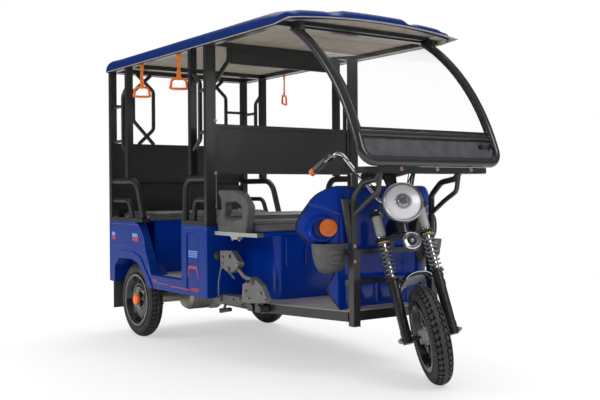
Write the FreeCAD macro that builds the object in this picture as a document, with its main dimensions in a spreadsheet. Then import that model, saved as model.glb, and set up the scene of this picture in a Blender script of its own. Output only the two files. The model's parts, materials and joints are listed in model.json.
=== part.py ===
import FreeCAD, Part
import math
import os
import re

import Sketcher
from FreeCAD import Placement, Rotation, Vector

# Electric three-wheeled passenger rickshaw, in millimetres.
# X points forward, Y to the vehicle's left, Z up; the ground is Z = 0.
# X = 0 is the front face of the main posts behind the driver.

# Driving dimensions: alias, value, what it is
SIZES = [
    ("half_width", 525, "outer face of the side panels and posts"),
    ("rear_face", 1310, "tail panel behind the main posts"),
    ("panel_bottom", 327, "lower edge of the side panels"),
    ("panel_top", 720, "upper edge of the side panels"),
    ("panel_skin", 3, "thickness of the pressed panels"),
    ("panel_return", 55, "depth of the turned edge round a side panel"),
    ("cap_height", 25, "dark strip on top of a side panel"),
    ("floor_top", 400, "passenger floor"),
    ("floor_sheet", 3, "thickness of the floor plates"),
    ("deck_top", 335, "driver's platform"),
    ("deck_front", 905, "front edge of the platform"),
    ("deck_half", 410, "half width of the platform beside the seat"),
    ("deck_nose_half", 275, "half width of the platform at its front edge"),
    ("deck_taper", 400, "where the platform starts to narrow"),
    ("rail_size", 40, "width of the floor frame tubes"),
    ("deck_frame_height", 47, "height of the platform frame"),
    ("door_rear", 697, "rear foot of the door opening"),
    ("door_front", 297, "front edge of the door opening"),
    ("sill_top", 405, "upper edge of the sill"),
    ("post_size", 40, "square corner and second posts"),
    ("main_post_width", 60, "width of the main post across the vehicle"),
    ("main_post_depth", 30, "depth of the main post along the vehicle"),
    ("door_post_depth", 32, "post behind the main post"),
    ("second_post", 1056, "rear face of the second post"),
    ("door_post", 207, "rear face of the post behind the main post"),
    ("post_top", 1695, "top of all posts"),
    ("roof_rail", 25, "height of the roof frame tubes"),
    ("roof_overhang", 25, "how far the roof stands out beyond each side"),
    ("roof_rear", 1362, "rear edge of the roof"),
    ("roof_front", 808, "front edge of the roof"),
    ("roof_rim", 1698, "lower edge of the roof"),
    ("roof_crown", 1822, "top of the roof"),
    ("roof_shoulder", 60, "height of the roof's rounded edge"),
    ("board_front", 822, "front edge of the roof lining board"),
    ("board_sheet", 3, "thickness of the roof lining board"),
    ("board_rise", 23, "arch of the lining board at its front edge"),
    ("roof_wall", 4, "thickness of the roof moulding"),
    ("handrail_radius", 19, "outer handrails"),
    ("inner_rail_radius", 15, "inner handrails"),
    ("bow_radius", 12.5, "bent side bows and rear window frames"),
    ("partition_bottom", 1004, "lower edge of the partition"),
    ("partition_top", 1275, "upper edge of the partition"),
    ("seat_front", 330, "front face of the driver's seat box"),
    ("seat_half", 290, "half width of the driver's seat box"),
    ("seat_top", 672, "top of the driver's seat box"),
    ("seat_board", 18, "board between the seat box and the pad"),
    ("pad_height", 62, "driver's pad"),
    ("pad_half", 440, "half width of the pads"),
    ("bench_front", 880, "front face of the rear bench"),
    ("bench_top", 725, "top of both bench bases"),
    ("bench_pad", 60, "thickness of the bench pads"),
    ("house_clearance", 16.5, "gap between a rear tyre and the inner wall of its wheel house"),
    ("axle_back", 939, "rear axle behind the main posts"),
    ("rear_track", 933, "distance between the rear tyres"),
    ("tyre_radius", 234, "outer radius of all tyres"),
    ("tyre_half_width", 45, "half of a tyre's section width"),
    ("tyre_height", 82, "height of a tyre's section"),
    ("rim_radius", 158, "outer radius of the rims"),
    ("front_axle", 1174, "front axle ahead of the main posts"),
    ("rake", 21.1, "lean of the steering axis, degrees"),
    ("steer", 30.5, "steering turned to the right, degrees"),
    ("fork_half", 110, "fork legs to either side of the wheel"),
    ("fork_leg_radius", 22, "upper fork tubes"),
    ("guard_x", 925, "centre of the front guard's posts"),
    ("guard_half", 250, "half distance between the guard's posts"),
    ("guard_post", 40, "square lower post of the guard"),
    ("guard_tube_radius", 15, "bent tubes of the guard"),
    ("ring_centre", 1130, "centre of the guard's ring"),
    ("ring_half", 385, "half width of the ring"),
    ("ring_radius", 90, "end radius of the ring"),
    ("ring_height", 27, "height of the ring's flat bar"),
    ("ring_bar", 6, "thickness of the ring's flat bar"),
    ("ring_z", 985, "lower edge of the ring"),
    ("grip_radius", 17, "handlebar grips"),
    ("coil_wire", 8, "wire of the fork springs"),
    ("coil_turns", 8, "turns of each fork spring"),
    ("screen_half", 425, "half width between the screen's side tubes"),
    ("screen_tube", 22, "radius of the screen's frame tube"),
    ("screen_sill", 1158, "centre of the bar under the windscreen"),
    ("screen_low", 1035, "centre of the windscreen frame's lowest tube"),
    ("lamp_radius", 93, "headlight"),
    ("mat_rear", 870, "rear edge of the mat in the foot room"),
    ("mat_front", 340, "front edge of the mat"),
    ("mat_margin", 10, "bare floor beside the mat"),
    ("mat_sheet", 1.5, "thickness of the mat"),
    ("flap_x", 1272, "rear face of the mudflaps"),
    ("flap_low", 150, "lower edge of the mudflaps"),
    ("flap_inward", 44.5, "inner edge of a mudflap from the middle of its tyre"),
    ("flap_outward", 49.5, "outer edge of a mudflap from the middle of its tyre"),
    ("flap_sheet", 6, "thickness of the mudflaps"),
    ("arm_thickness", 44, "armrests across the vehicle"),
    ("strap_drop", 137, "webbing of the grab handles"),
    ("strap_half", 46, "half width of the grab handles"),
    ("fit_gap", 0.3, "gap between curved pieces that touch"),
]

doc = FreeCAD.newDocument("Rickshaw")
sheet = doc.addObject("Spreadsheet::Sheet", "Sizes")
for row, (alias, number, note) in enumerate(SIZES, 1):
    sheet.set(f"A{row}", alias)
    sheet.set(f"B{row}", str(number))
    sheet.setAlias(f"B{row}", alias)
    sheet.set(f"C{row}", note)
doc.recompute()


class Sheet:
    """Reads a driving dimension by its alias."""

    def __getattr__(self, alias):
        return float(sheet.get(alias))


S = Sheet()
ALIASES = {alias for alias, number, note in SIZES}
PARTS = {}


def formula(text):
    """An expression in which each alias names its cell of the sheet."""
    return re.sub(r"[a-z_]+", lambda m: "Sizes." + m[0] if m[0] in ALIASES else m[0], str(text))


def bind(obj, **properties):
    for name, text in properties.items():
        obj.setExpression(name.replace("__", "."), formula(text))


def place(obj, at):
    bind(obj, Placement__Base__x=at[0], Placement__Base__y=at[1], Placement__Base__z=at[2])


def box(name, length, width, height, at):
    """A block whose sizes and low corner are formulas of the sheet."""
    obj = doc.addObject("Part::Box", name)
    bind(obj, Length=length, Width=width, Height=height)
    place(obj, at)
    return obj


def cylinder(name, radius, height, at, turn=None):
    obj = doc.addObject("Part::Cylinder", name)
    bind(obj, Radius=radius, Height=height)
    if turn:
        obj.Placement = Placement(Vector(), turn)
    place(obj, at)
    return obj


ALONG_X = Rotation(Vector(0, 1, 0), 90)
ALONG_Y = Rotation(Vector(1, 0, 0), -90)


def cut(name, base, tool):
    obj = doc.addObject("Part::Cut", name)
    obj.Base, obj.Tool = base, tool
    return obj


def fuse(name, pieces):
    obj = doc.addObject("Part::MultiFuse", name)
    obj.Shapes = pieces
    return obj


def group(name, pieces):
    """Several pieces of one kind that don't touch."""
    obj = doc.addObject("Part::Compound", name)
    obj.Links = pieces
    return obj


def feature(name, shape):
    obj = doc.addObject("Part::Feature", name)
    obj.Shape = shape
    return obj


def mirrored(name, source):
    """The same piece on the other side of the vehicle's middle plane."""
    obj = doc.addObject("Part::Mirroring", name)
    obj.Source = source
    obj.Base, obj.Normal = Vector(0, 0, 0), Vector(0, 1, 0)
    return obj


def part(node, obj):
    """Marks an object as a finished piece of the vehicle."""
    obj.Label = node
    PARTS[node] = obj
    return obj


# Shapes for bent tubes, rounded outlines and turned sections

def rounded_path(points, bends, closed=False):
    """Straight runs joined by tangent arcs; bends is one radius or one for each inner point."""
    points = [Vector(*p) for p in points]
    count = len(points)
    inner = range(count) if closed else range(1, count - 1)
    if not isinstance(bends, (list, tuple)):
        bends = [bends] * len(inner)
    arcs = {}
    for radius, i in zip(bends, inner):
        before = (points[i - 1] - points[i]).normalize()
        after = (points[(i + 1) % count] - points[i]).normalize()
        half = before.getAngle(after) / 2
        reach = radius / math.tan(half)
        centre = points[i] + (before + after).normalize() * (radius / math.sin(half))
        start, end = points[i] + before * reach, points[i] + after * reach
        middle = centre + (points[i] - centre).normalize() * radius
        arcs[i] = (start, middle, end)
    edges = []
    here = arcs[count - 1][2] if closed else points[0]
    for i in range(count):
        if i in arcs:
            start, middle, end = arcs[i]
            if (start - here).Length > 1e-4:
                edges.append(Part.LineSegment(here, start).toShape())
            edges.append(Part.Arc(start, middle, end).toShape())
            here = end
    if not closed:
        edges.append(Part.LineSegment(here, points[-1]).toShape())
    return Part.Wire(edges)


def bent_tube(points, radius, bends):
    """A round tube bent along a path."""
    path = rounded_path(points, bends) if len(points) > 2 else Part.makePolygon([Vector(*p) for p in points])
    return swept(path, radius)


def swept(path, radius):
    """A round bar along a wire."""
    first = path.OrderedEdges[0]
    start = path.OrderedVertexes[0].Point
    direction = first.tangentAt(first.FirstParameter)
    section = Part.Wire(Part.makeCircle(radius, start, direction))
    tube = path.makePipeShell([section], True, True)
    return tube if tube.Volume > 0 else tube.reversed()


def slab(outline, thickness, corners=None):
    """A rounded outline in space, made thick along the given vector."""
    wire = rounded_path(outline, corners, closed=True) if corners else Part.makePolygon(
        [Vector(*p) for p in outline + outline[:1]])
    return Part.Face(wire).extrude(Vector(*thickness))


def turned(profile, centre=(0, 0, 0), axis=(0, 1, 0)):
    """Turns a closed outline of (radius, distance along the axis) about an axis through centre."""
    wire = Part.makePolygon([Vector(r, a, 0) for r, a in profile + profile[:1]])
    solid = Part.Face(wire).revolve(Vector(), Vector(0, 1, 0), 360)
    solid.Placement = Placement(Vector(*centre), Rotation(Vector(0, 1, 0), Vector(*axis)))
    return solid


def outline_face(edges):
    return Part.Face(Part.Wire(Part.__sortEdges__(edges)))


def ruled(first, second):
    """A solid with straight lines between two closed outlines whose edges pair off in order."""
    faces = [Part.makeRuledSurface(a, b) for a, b in zip(first, second)]
    skin = Part.makeShell(faces + [outline_face(first), outline_face(second)])
    skin.sewShape()
    solid = Part.makeSolid(skin)
    return solid if solid.Volume > 0 else solid.reversed()


def joined(shapes):
    return shapes[0].multiFuse(shapes[1:]).removeSplitter()


def sketched(name, plane, outline, thickness, reverse=False):
    """A PartDesign body padded from a sketch whose corners are formulas of the sheet."""
    body = doc.addObject("PartDesign::Body", name)
    drawing = body.newObject("Sketcher::SketchObject", name + "_outline")
    origin = [f for f in body.Origin.OriginFeatures if f.Role == plane][0]
    drawing.AttachmentSupport, drawing.MapMode = [(origin, "")], "FlatFace"
    draw(drawing, outline)
    pad = body.newObject("PartDesign::Pad", name + "_pad")
    pad.Profile, pad.Reversed = drawing, reverse
    bind(pad, Length=thickness)
    return body


def draw(drawing, outline):
    """Draws a closed outline and ties each corner to the sheet."""
    count = len(outline)
    for i in range(count):
        # the solver needs distinct starting points, here on a circle
        angle, after = math.tau * i / count, math.tau * (i + 1) / count
        start = Vector(100 * math.cos(angle), 100 * math.sin(angle), 0)
        end = Vector(100 * math.cos(after), 100 * math.sin(after), 0)
        drawing.addGeometry(Part.LineSegment(start, end))
    for i in range(count):
        drawing.addConstraint(Sketcher.Constraint("Coincident", i, 2, (i + 1) % count, 1))
    for i, corner in enumerate(outline):
        for way, text in zip(("DistanceX", "DistanceY"), corner):
            index = drawing.addConstraint(Sketcher.Constraint(way, -1, 1, i, 1, 1.0))
            drawing.setExpression(f"Constraints[{index}]", formula(text))


# Widths that follow from others: the wheel houses stand beside the tyres, the roof laps over the sides

house_half = "(rear_track / 2 - tyre_half_width - house_clearance)"
HOUSE_HALF = S.rear_track / 2 - S.tyre_half_width - S.house_clearance
ROOF_HALF = S.half_width + S.roof_overhang

# Side panels: a pressed tray with its edges turned in, wheel arch, flare and wheel house

def side_outline(inset):
    """Outline of the side panel in X and Z, with the corner radii."""
    rear, top, bottom = -S.rear_face + inset, S.panel_top - inset, S.panel_bottom + inset
    points = [
        (rear, bottom), (rear, top), (-872 - inset * 0.6, top),
        (-S.door_rear - 38 - inset, S.sill_top + 95),
        (-S.door_rear - inset, S.sill_top - inset),
        (-S.door_front + inset, S.sill_top - inset), (-S.door_front + inset, top),
        (-inset, top), (-inset, bottom),
    ]
    radii = [6, 6, 90, 200, 12, 12, 6, 6, 6]
    return [(x, -S.half_width, z) for x, z in points], radii


def arch_outline(grow, y):
    """Wheel arch opening in X and Z, grown outwards by a width."""
    low = S.panel_bottom - 20
    points = [
        (-1219 - grow, low), (-1217 - grow, 430 + grow * 0.3), (-1150 - grow * 0.5, 484 + grow),
        (-955, 488 + grow), (-862 + grow * 0.5, 466 + grow * 0.9), (-775 + grow, 391 + grow * 0.2),
        (-692 + grow * 0.9, low),
    ]
    return [(x, y, z) for x, z in points], [1, 45, 45, 60, 60, 90, 1]


HOUSE_RADII = [1, 60, 60, 80, 60, 20, 1]


def house_outline(inset, y):
    """The wheel house in X and Z, clear of the tyre all round."""
    low = S.panel_bottom - 20
    points = [(-1222 + inset, low), (-1222 + inset, 430), (-1150, 502 - inset), (-950, 506 - inset),
              (-800 - inset * 0.6, 472 - inset), (-706 - inset, 402 - inset * 0.6), (-703 - inset, low)]
    return [(x, y, z) for x, z in points]


def side_panel():
    outer, radii = side_outline(0)
    tray = slab(outer, (0, S.panel_return, 0), radii)
    hollow, radii = side_outline(S.panel_skin)
    hollow = slab(hollow, (0, S.panel_return, 0), radii)
    hollow.translate(Vector(0, S.panel_skin, 0))
    tray = tray.cut(hollow)
    flare_proud, flare_width = 6, 48
    flare_points, flare_radii = arch_outline(flare_width, -S.half_width - flare_proud)
    flare = slab(flare_points, (0, flare_proud + S.panel_skin, 0), flare_radii)
    sunk = 5
    recess = [(x, -S.half_width - 1, z) for x, z in ((-240, 352), (-240, 677), (-92, 677), (-92, 352))]
    back = [(x, -S.half_width + sunk, z) for x, z in ((-242, 350), (-242, 679), (-90, 679), (-90, 350))]
    tray = tray.fuse(slab(back, (0, S.panel_skin, 0), 22)).fuse(
        slab(back, (0, -sunk, 0), 22))
    tray = tray.cut(slab(recess, (0, sunk + 1, 0), 20))
    above_edge = Part.makeBox(S.rear_face, 200, S.panel_top, Vector(-S.rear_face, -S.half_width - 20, S.panel_bottom))
    tray = tray.fuse(flare.common(above_edge))
    opening, opening_radii = arch_outline(0, -S.half_width - 30)
    tray = tray.cut(slab(opening, (0, S.panel_return + 60, 0), opening_radii))
    reach = S.half_width - S.panel_skin - HOUSE_HALF
    house = slab(house_outline(0, S.panel_skin - S.half_width), (0, reach, 0), HOUSE_RADII).cut(
        slab(house_outline(S.panel_skin, S.panel_skin - S.half_width - 1), (0, reach + 1 - S.panel_skin, 0),
             HOUSE_RADII))
    return tray.fuse(house.common(above_edge)).removeSplitter()


part("right_side_panel", feature("RightSidePanel", side_panel()))
part("left_side_panel", mirrored("LeftSidePanel", PARTS["right_side_panel"]))

# Floor frame: passenger ladder, platform frame and cross tubes

rail_inner = f"{house_half} - rail_size"
outrigger = "half_width - panel_return"
rail_height = "floor_top - floor_sheet - deck_top"
ladder = []
for side, low_y in (("Right", f"-{house_half}"), ("Left", rail_inner)):
    ladder.append(box(side + "FloorRail", "rear_face - panel_skin", "rail_size", rail_height,
                      ("panel_skin - rear_face", low_y, "deck_top")))
cross_tubes = (("Tail", "panel_skin - rear_face", outrigger), ("Axle", "-axle_back - 20", rail_inner),
               ("DoorRear", "-door_rear", outrigger), ("DoorFront", "-door_front - 40", outrigger),
               ("Bulkhead", "-rail_size", outrigger))
for name, x, half in cross_tubes:
    ladder.append(box(name + "CrossTube", "rail_size", f"2 * ({half})", rail_height, (x, f"-({half})", "deck_top")))


def deck_outline(level, inset=0.0):
    nose, half, front = S.deck_nose_half - inset, S.deck_half - inset, S.deck_front - inset
    right = [(-120 + inset, -half, level), (S.deck_taper, -half, level), (front, -nose, level)]
    return right + [(x, -y, z) for x, y, z in reversed(right)]


deck_frame_top = S.deck_top - S.floor_sheet
deck_low = deck_frame_top - S.deck_frame_height
deck_edge = slab(deck_outline(deck_low), (0, 0, S.deck_frame_height))
deck_hole = slab(deck_outline(deck_low - 1, S.rail_size), (0, 0, S.deck_frame_height + 2))
deck_bars = [Part.makeBox(S.rail_size, 2 * S.deck_half - S.rail_size, S.deck_frame_height,
                          Vector(x, S.rail_size / 2 - S.deck_half, deck_low)) for x in (0, S.seat_front)]
deck_step = Part.makeBox(110, 2 * S.deck_half, S.deck_frame_height + S.floor_sheet,
                         Vector(-120, -S.deck_half, deck_low))
deck = deck_edge.cut(deck_hole).multiFuse(deck_bars + [deck_step])
part("floor_frame", fuse("FloorFrame", ladder + [feature("PlatformFrame", deck)]))

floor_half = "half_width - panel_return"
passenger_floor = box("PassengerFloor", "rear_face - panel_skin", f"2 * ({floor_half})", "floor_sheet",
                      ("panel_skin - rear_face", f"-({floor_half})", "floor_top - floor_sheet"))
plate = slab(deck_outline(deck_frame_top)[1:-1] + [(S.panel_skin, S.deck_half, deck_frame_top),
             (S.panel_skin, -S.deck_half, deck_frame_top)], (0, 0, S.floor_sheet))
wheel_slots = [box(f"WheelSlot{i}", "525", "half_width", "floor_sheet + 10",
                   ("-axle_back - 286", y, "floor_top - floor_sheet - 5"))
               for i, y in enumerate((f"-half_width - {house_half}", house_half))]
passenger_floor = cut("SlottedFloor", passenger_floor, fuse("WheelSlots", wheel_slots))
mat_half = f"({house_half} - mat_margin)"
foot_mat = sketched("FootMat", "XY_Plane", [(x, y) for x, y in (
    ("-mat_rear", f"-{mat_half}"), ("-mat_front", f"-{mat_half}"), ("-mat_front", mat_half),
    ("-mat_rear", mat_half))], "mat_sheet")
place(foot_mat, ("0", "0", "floor_top"))
part("floor_plate", group("FloorPlate", [passenger_floor, feature("PlatformPlate", plate), foot_mat]))

# Bulkhead and tail panel: blue sheets between the side panels

sheet_half = "half_width - panel_return"
part("bulkhead", box("Bulkhead", "panel_skin", f"2 * ({sheet_half})", "panel_top - deck_top",
                     ("0", f"-({sheet_half})", "deck_top")))
part("tail_panel", box("TailPanel", "panel_skin", f"2 * ({sheet_half})", "panel_top + cap_height - panel_bottom",
                       ("-rear_face", f"-({sheet_half})", "panel_bottom")))

# Posts and the bent bows beside them, built on the right and mirrored

rail_y = -(S.half_width - 20)
cap_top = S.panel_top + S.cap_height
rail_crest = 980


def side_bow(post_face, reach, top, bottom, far_face, stubs):
    """A tube that leaves a post, runs upright beside it and returns, with two stubs to the next post."""
    away = post_face + reach
    bow = bent_tube([(post_face, rail_y, top), (away, rail_y, top - 0.75 * abs(reach)),
                     (away, rail_y, bottom + 0.75 * abs(reach)), (post_face, rail_y, bottom)], S.bow_radius, 30)
    ends = [bent_tube([(away, rail_y, z), (far_face, rail_y, z)], S.bow_radius * 0.8, 0) for z in stubs]
    return joined([bow, *ends])


def posts():
    foot = cap_top
    outer = -S.half_width
    corner = Part.makeBox(S.post_size, S.post_size, S.post_top - foot, Vector(-S.rear_face, outer, foot))
    second = Part.makeBox(S.post_size, S.post_size, S.post_top - rail_crest - S.handrail_radius,
                          Vector(-S.second_post, outer, rail_crest + S.handrail_radius))
    door = Part.makeBox(S.door_post_depth, S.post_size, S.post_top - rail_crest - S.handrail_radius,
                        Vector(-S.door_post, outer, rail_crest + S.handrail_radius))
    main = Part.makeBox(S.main_post_depth, S.main_post_width, S.post_top - foot,
                        Vector(-S.main_post_depth, outer, foot))
    rear_bow = side_bow(-S.second_post, -70, 1582, 1150, -S.rear_face + S.post_size, (1461, 1237))
    front_bow = side_bow(-S.door_post + S.door_post_depth, 72, 1558, 1140, -S.main_post_depth, (1461, 1231))
    return Part.makeCompound([joined([corner, rear_bow, second]), joined([door, front_bow, main])])


part("right_posts", feature("RightPosts", posts()))
part("left_posts", mirrored("LeftPosts", PARTS["right_posts"]))
doc.recompute()

# Handrails: dark cap strips with two nested bent tubes at each end of the door


def handrails():
    y0, depth = -S.half_width, S.panel_return
    caps = [Part.makeBox(S.rear_face - 810, depth, S.cap_height, Vector(-S.rear_face, y0, S.panel_top)),
            Part.makeBox(S.door_front - 2, depth, S.cap_height, Vector(-S.door_front + 2, y0, S.panel_top))]
    corner_face = -S.rear_face + S.post_size
    main_face = -S.main_post_depth
    rear_outer = [(corner_face, rail_y, rail_crest), (-925, rail_y, rail_crest), (-830, rail_y, cap_top)]
    rear_inner = [(corner_face, rail_y, 855), (-1040, rail_y, 855), (-985, rail_y, cap_top)]
    front_outer = [(main_face, rail_y, rail_crest), (-270, rail_y, rail_crest), (-279, rail_y, cap_top)]
    front_inner = [(main_face, rail_y, 862), (-165, rail_y, 862), (-178, rail_y, cap_top)]
    rear = joined([caps[0], bent_tube(rear_outer, S.handrail_radius, 120),
                   bent_tube(rear_inner, S.inner_rail_radius, 60)])
    front = joined([caps[1], bent_tube(front_outer, S.handrail_radius, 75),
                    bent_tube(front_inner, S.inner_rail_radius, 45)])
    return Part.makeCompound([rear, front])


part("right_handrails", feature("RightHandrails", handrails()))
part("left_handrails", mirrored("LeftHandrails", PARTS["right_handrails"]))

# Rear window: bent tube frames between the roof rail and the back panel


def rear_grille():
    x = -S.rear_face + S.post_size / 2
    top, low = S.post_top, 1230
    shapes = []
    for side in (-1, 1):
        big = [(x, side * 330, top), (x, side * 211, 1589), (x, side * 211, 1330), (x, side * 320, low)]
        small = [(x, side * 230, top), (x, side * 358, 1580), (x, side * 358, 1385), (x, side * 210, low)]
        stub = [(x, side * 358, 1475), (x, side * (S.half_width - S.post_size), 1475)]
        shapes.append(joined([bent_tube(big, S.bow_radius, 40), bent_tube(small, S.bow_radius, 40),
                              bent_tube(stub, S.bow_radius * 0.8, 0)]))
    window = Part.makeBox(100, 2 * S.half_width, top - low, Vector(x - 50, -S.half_width, low))
    shapes = [shape.common(window) for shape in shapes]
    return Part.makeCompound(shapes)


part("rear_grille", feature("RearGrille", rear_grille()))

# Roof frame: side rails, cross tubes, braces behind the driver


def roof_frame():
    z, high, half = S.post_top, S.roof_rail, S.half_width
    front = 690
    rails = [Part.makeBox(S.rear_face + front, S.post_size, high, Vector(-S.rear_face, y, z))
             for y in (-half, half - S.post_size)]
    cross = [Part.makeBox(S.post_size, 2 * half, high, Vector(x, -half, z))
             for x in (-S.rear_face, -S.second_post, -S.main_post_depth, front - S.post_size)]
    braces = []
    for side in (-1, 1):
        x = -S.main_post_depth / 2
        braces.append(bent_tube([(x, side * 373, z), (x, side * 373, 1628),
                                 (x, side * (half - S.main_post_width), 1500)], S.bow_radius, 60))
    return joined(rails + cross + braces).cut(Part.makeCompound([PARTS["right_posts"].Shape, PARTS["left_posts"].Shape]))


part("roof_frame", feature("RoofFrame", roof_frame()))

# Roof: two crossed sections give the cushion shape with raised bands, hollow below

ROOF_CREASE, ROOF_CORNER = 700, 90
lift = S.post_top + S.roof_rail


def roof_body(inset):
    rear, front, half = -S.roof_rear + inset, S.roof_front - inset, ROOF_HALF - inset
    low, crown = S.roof_rim, S.roof_crown - inset
    side = [(rear, low), (rear, crown - S.roof_shoulder), (rear + 60, crown - 8), (540, crown),
            (ROOF_CREASE, crown - 24), (front, crown - 56), (front, low)]
    along = slab([(x, -half, z) for x, z in side], (0, 2 * half, 0), [1, 20, 60, 260, 200, 8, 1])
    bands = [(half - 20, crown - 20), (480, crown - 18), (435, crown - 9), (300, crown - 9), (268, crown - 20),
             (225, crown - 20), (185, crown)]
    right = [(half, low), (half, crown - S.roof_shoulder)] + bands
    section = [(-y, z) for y, z in right] + [(y, z) for y, z in reversed(right)]
    body = along.common(slab([(rear, y, z) for y, z in section], (front - rear, 0, 0)))
    nose = [(ROOF_CREASE, -half), (front - 20, 30 - half), (front, 120 - half)]
    plan = [(rear, -half, low)] + [(x, y, low) for x, y in nose] + [(x, -y, low) for x, y in nose[::-1]]
    plan.append((rear, half, low))
    return body.common(slab(plan, (0, 0, crown - low + 1), [ROOF_CORNER, 8, 20, 60, 60, 20, 8, ROOF_CORNER]))


def board_line(x, lip_z, fold, high, up=0.0, reach=0.0):
    """The lining board's section at one station: flat lips, folds up to the frame, an arched middle."""
    lip, shelf = ROOF_HALF - 1, ROOF_HALF - 9
    points = [(-lip - reach, lip_z), (-shelf, lip_z), (-fold[0], fold[1]), (0, high), fold, (shelf, lip_z),
              (lip + reach, lip_z)]
    a, b, c, top, d, e, f = (Vector(x, y, z + up) for y, z in points)
    return [Part.LineSegment(a, b).toShape(), Part.LineSegment(b, c).toShape(), Part.Arc(c, top, d).toShape(),
            Part.LineSegment(d, e).toShape(), Part.LineSegment(e, f).toShape()]


def closed_section(lower, upper):
    """The edges of a closed outline between two lines across the roof, in order."""
    first, last = lower[0].Vertexes[0].Point, lower[-1].Vertexes[-1].Point
    left, right = upper[0].Vertexes[0].Point, upper[-1].Vertexes[-1].Point
    return [*lower, Part.LineSegment(last, right).toShape(), *reversed(upper), Part.LineSegment(left, first).toShape()]


LIP_Z = S.roof_rim - S.board_sheet - 0.5
BACK_LINE = (LIP_Z, (S.half_width + 2, lift + 0.3), lift + 2.3)
FRONT_LINE = (LIP_Z + 14, (S.half_width - 45, lift - 3), lift - 3 + S.board_rise + 3)
BOARD_BEND = 692


def roof_liner():
    """The board under the roof: it lies on the frame, laps under the moulding and arches up at the front."""
    thick = S.board_sheet
    back = closed_section(board_line(BOARD_BEND, *BACK_LINE), board_line(BOARD_BEND, *BACK_LINE, up=thick))
    front = closed_section(board_line(S.board_front, *FRONT_LINE), board_line(S.board_front, *FRONT_LINE, up=thick))
    rear = 5 - S.roof_rear
    flat = outline_face(back).extrude(Vector(rear - BOARD_BEND, 0, 0))

    def plan(inset, z, height, corner):
        x, half, front = inset - S.roof_rear, ROOF_HALF - inset, S.board_front + 100
        return slab([(x, -half, z), (front, -half, z), (front, half, z), (x, half, z)], (0, 0, height),
                    [corner, 1, 1, corner])
    inside = plan(S.roof_wall + S.fit_gap, S.roof_rim, 200, ROOF_CORNER)
    below = plan(1, S.roof_rim - 100, 100, ROOF_CORNER - 1)
    return joined([flat.common(inside.fuse(below)), ruled(back, front)])


def under_board():
    """Everything below the front of the lining board, which the moulding stops short of."""
    up = S.board_sheet + S.fit_gap
    sections = []
    for x, line in ((BOARD_BEND, BACK_LINE), (S.board_front, FRONT_LINE)):
        upper = board_line(x, *line, up=up, reach=50)
        edge, z = upper[-1].Vertexes[-1].Point.y, S.roof_rim - 98
        marks = [Vector(x, edge * share, z) for share in (-1, -0.6, -0.2, 0.2, 0.6, 1)]
        lower = [Part.LineSegment(a, b).toShape() for a, b in zip(marks, marks[1:])]
        sections.append(closed_section(lower, upper))
    return ruled(*sections)


shell = roof_body(0).cut(roof_body(S.roof_wall).fuse(
    Part.makeBox(S.roof_rear + S.roof_front, 2 * ROOF_HALF, 2,
                 Vector(-S.roof_rear, -ROOF_HALF, S.roof_rim - 2)))).cut(under_board())
part("roof_shell", feature("RoofShell", shell))
part("roof_liner", feature("RoofLiner", roof_liner()))

# Black cabin panels: partition, overhead panel and two back panels, each a sheet in a lip frame


def framed_panel(low, high, x, thickness, lip):
    """A sheet with a thicker lip all round, facing along X."""
    (y0, z0), (y1, z1) = low, high
    slim = thickness * 0.35
    frame = Part.makeBox(thickness, y1 - y0, z1 - z0, Vector(x, y0, z0)).cut(
        Part.makeBox(thickness, y1 - y0 - 2 * lip, z1 - z0 - 2 * lip, Vector(x, y0 + lip, z0 + lip)))
    middle = Part.makeBox(slim, y1 - y0 - 2 * lip, z1 - z0 - 2 * lip,
                          Vector(x + (thickness - slim) / 2, y0 + lip, z0 + lip))
    return joined([frame, middle])


between = S.half_width - S.main_post_width
behind = S.half_width - S.post_size
panels = [
    framed_panel((-between, S.partition_bottom), (between, S.partition_top), -S.main_post_depth + 3, 22, 20),
    framed_panel((-360, 1610), (360, S.post_top), -S.main_post_depth + 8, 14, 10),
    framed_panel((-behind, 975), (behind, 1230), -S.rear_face + 8, 20, 16),
    framed_panel((-behind, cap_top + 40), (behind, 955), -S.rear_face + 8, 20, 16),
]
part("cabin_panels", feature("CabinPanels", Part.makeCompound(panels)))

# Driver's seat: pressed box with rounded corners, board, pad, armrests on flat bars


def seat_marks():
    """Raised strokes pressed into the front: a tall one with a short arm on the right, plain ones beside it."""
    face = S.seat_front - 1
    top, low, width, proud = S.seat_top - 20, S.seat_top - 172, 24, 5
    marks = []
    for y, arm in ((-232, 54), (-108, 0), (108 - width, 0), (232 - width, -54)):
        stroke = [(face, y, low), (face, y, top), (face, y + width, top), (face, y + width, low + 10)]
        marks.append(slab(stroke, (proud, 0, 0), [3, 3, 3, 3]))
        if arm:
            start = y if arm > 0 else y + width + arm
            marks.append(Part.makeBox(proud, abs(arm), 13, Vector(face, start, top - 13)))
    return marks


def seat_box():
    x0, z0 = S.panel_skin, S.deck_top
    outline = [(x0, -S.seat_half, z0), (S.seat_front, -S.seat_half, z0), (S.seat_front, S.seat_half, z0),
               (x0, S.seat_half, z0)]
    high = S.seat_top - z0
    skin = S.panel_skin
    outer = slab(outline, (0, 0, high), [1, 40, 40, 1])
    inner = [(x0 + skin, -S.seat_half + skin, z0 - 1), (S.seat_front - skin, -S.seat_half + skin, z0 - 1),
             (S.seat_front - skin, S.seat_half - skin, z0 - 1), (x0 + skin, S.seat_half - skin, z0 - 1)]
    box_shell = outer.cut(slab(inner, (0, 0, high + 1 - skin), [1, 38, 38, 1]))
    board = Part.makeBox(S.seat_front + 8, 2 * S.pad_half, S.seat_board, Vector(x0, -S.pad_half, S.seat_top))
    return joined([box_shell, *seat_marks(), board])


part("seat_box", feature("SeatBox", seat_box()))
pad_low = S.seat_top + S.seat_board
pad_corner = 40


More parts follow.
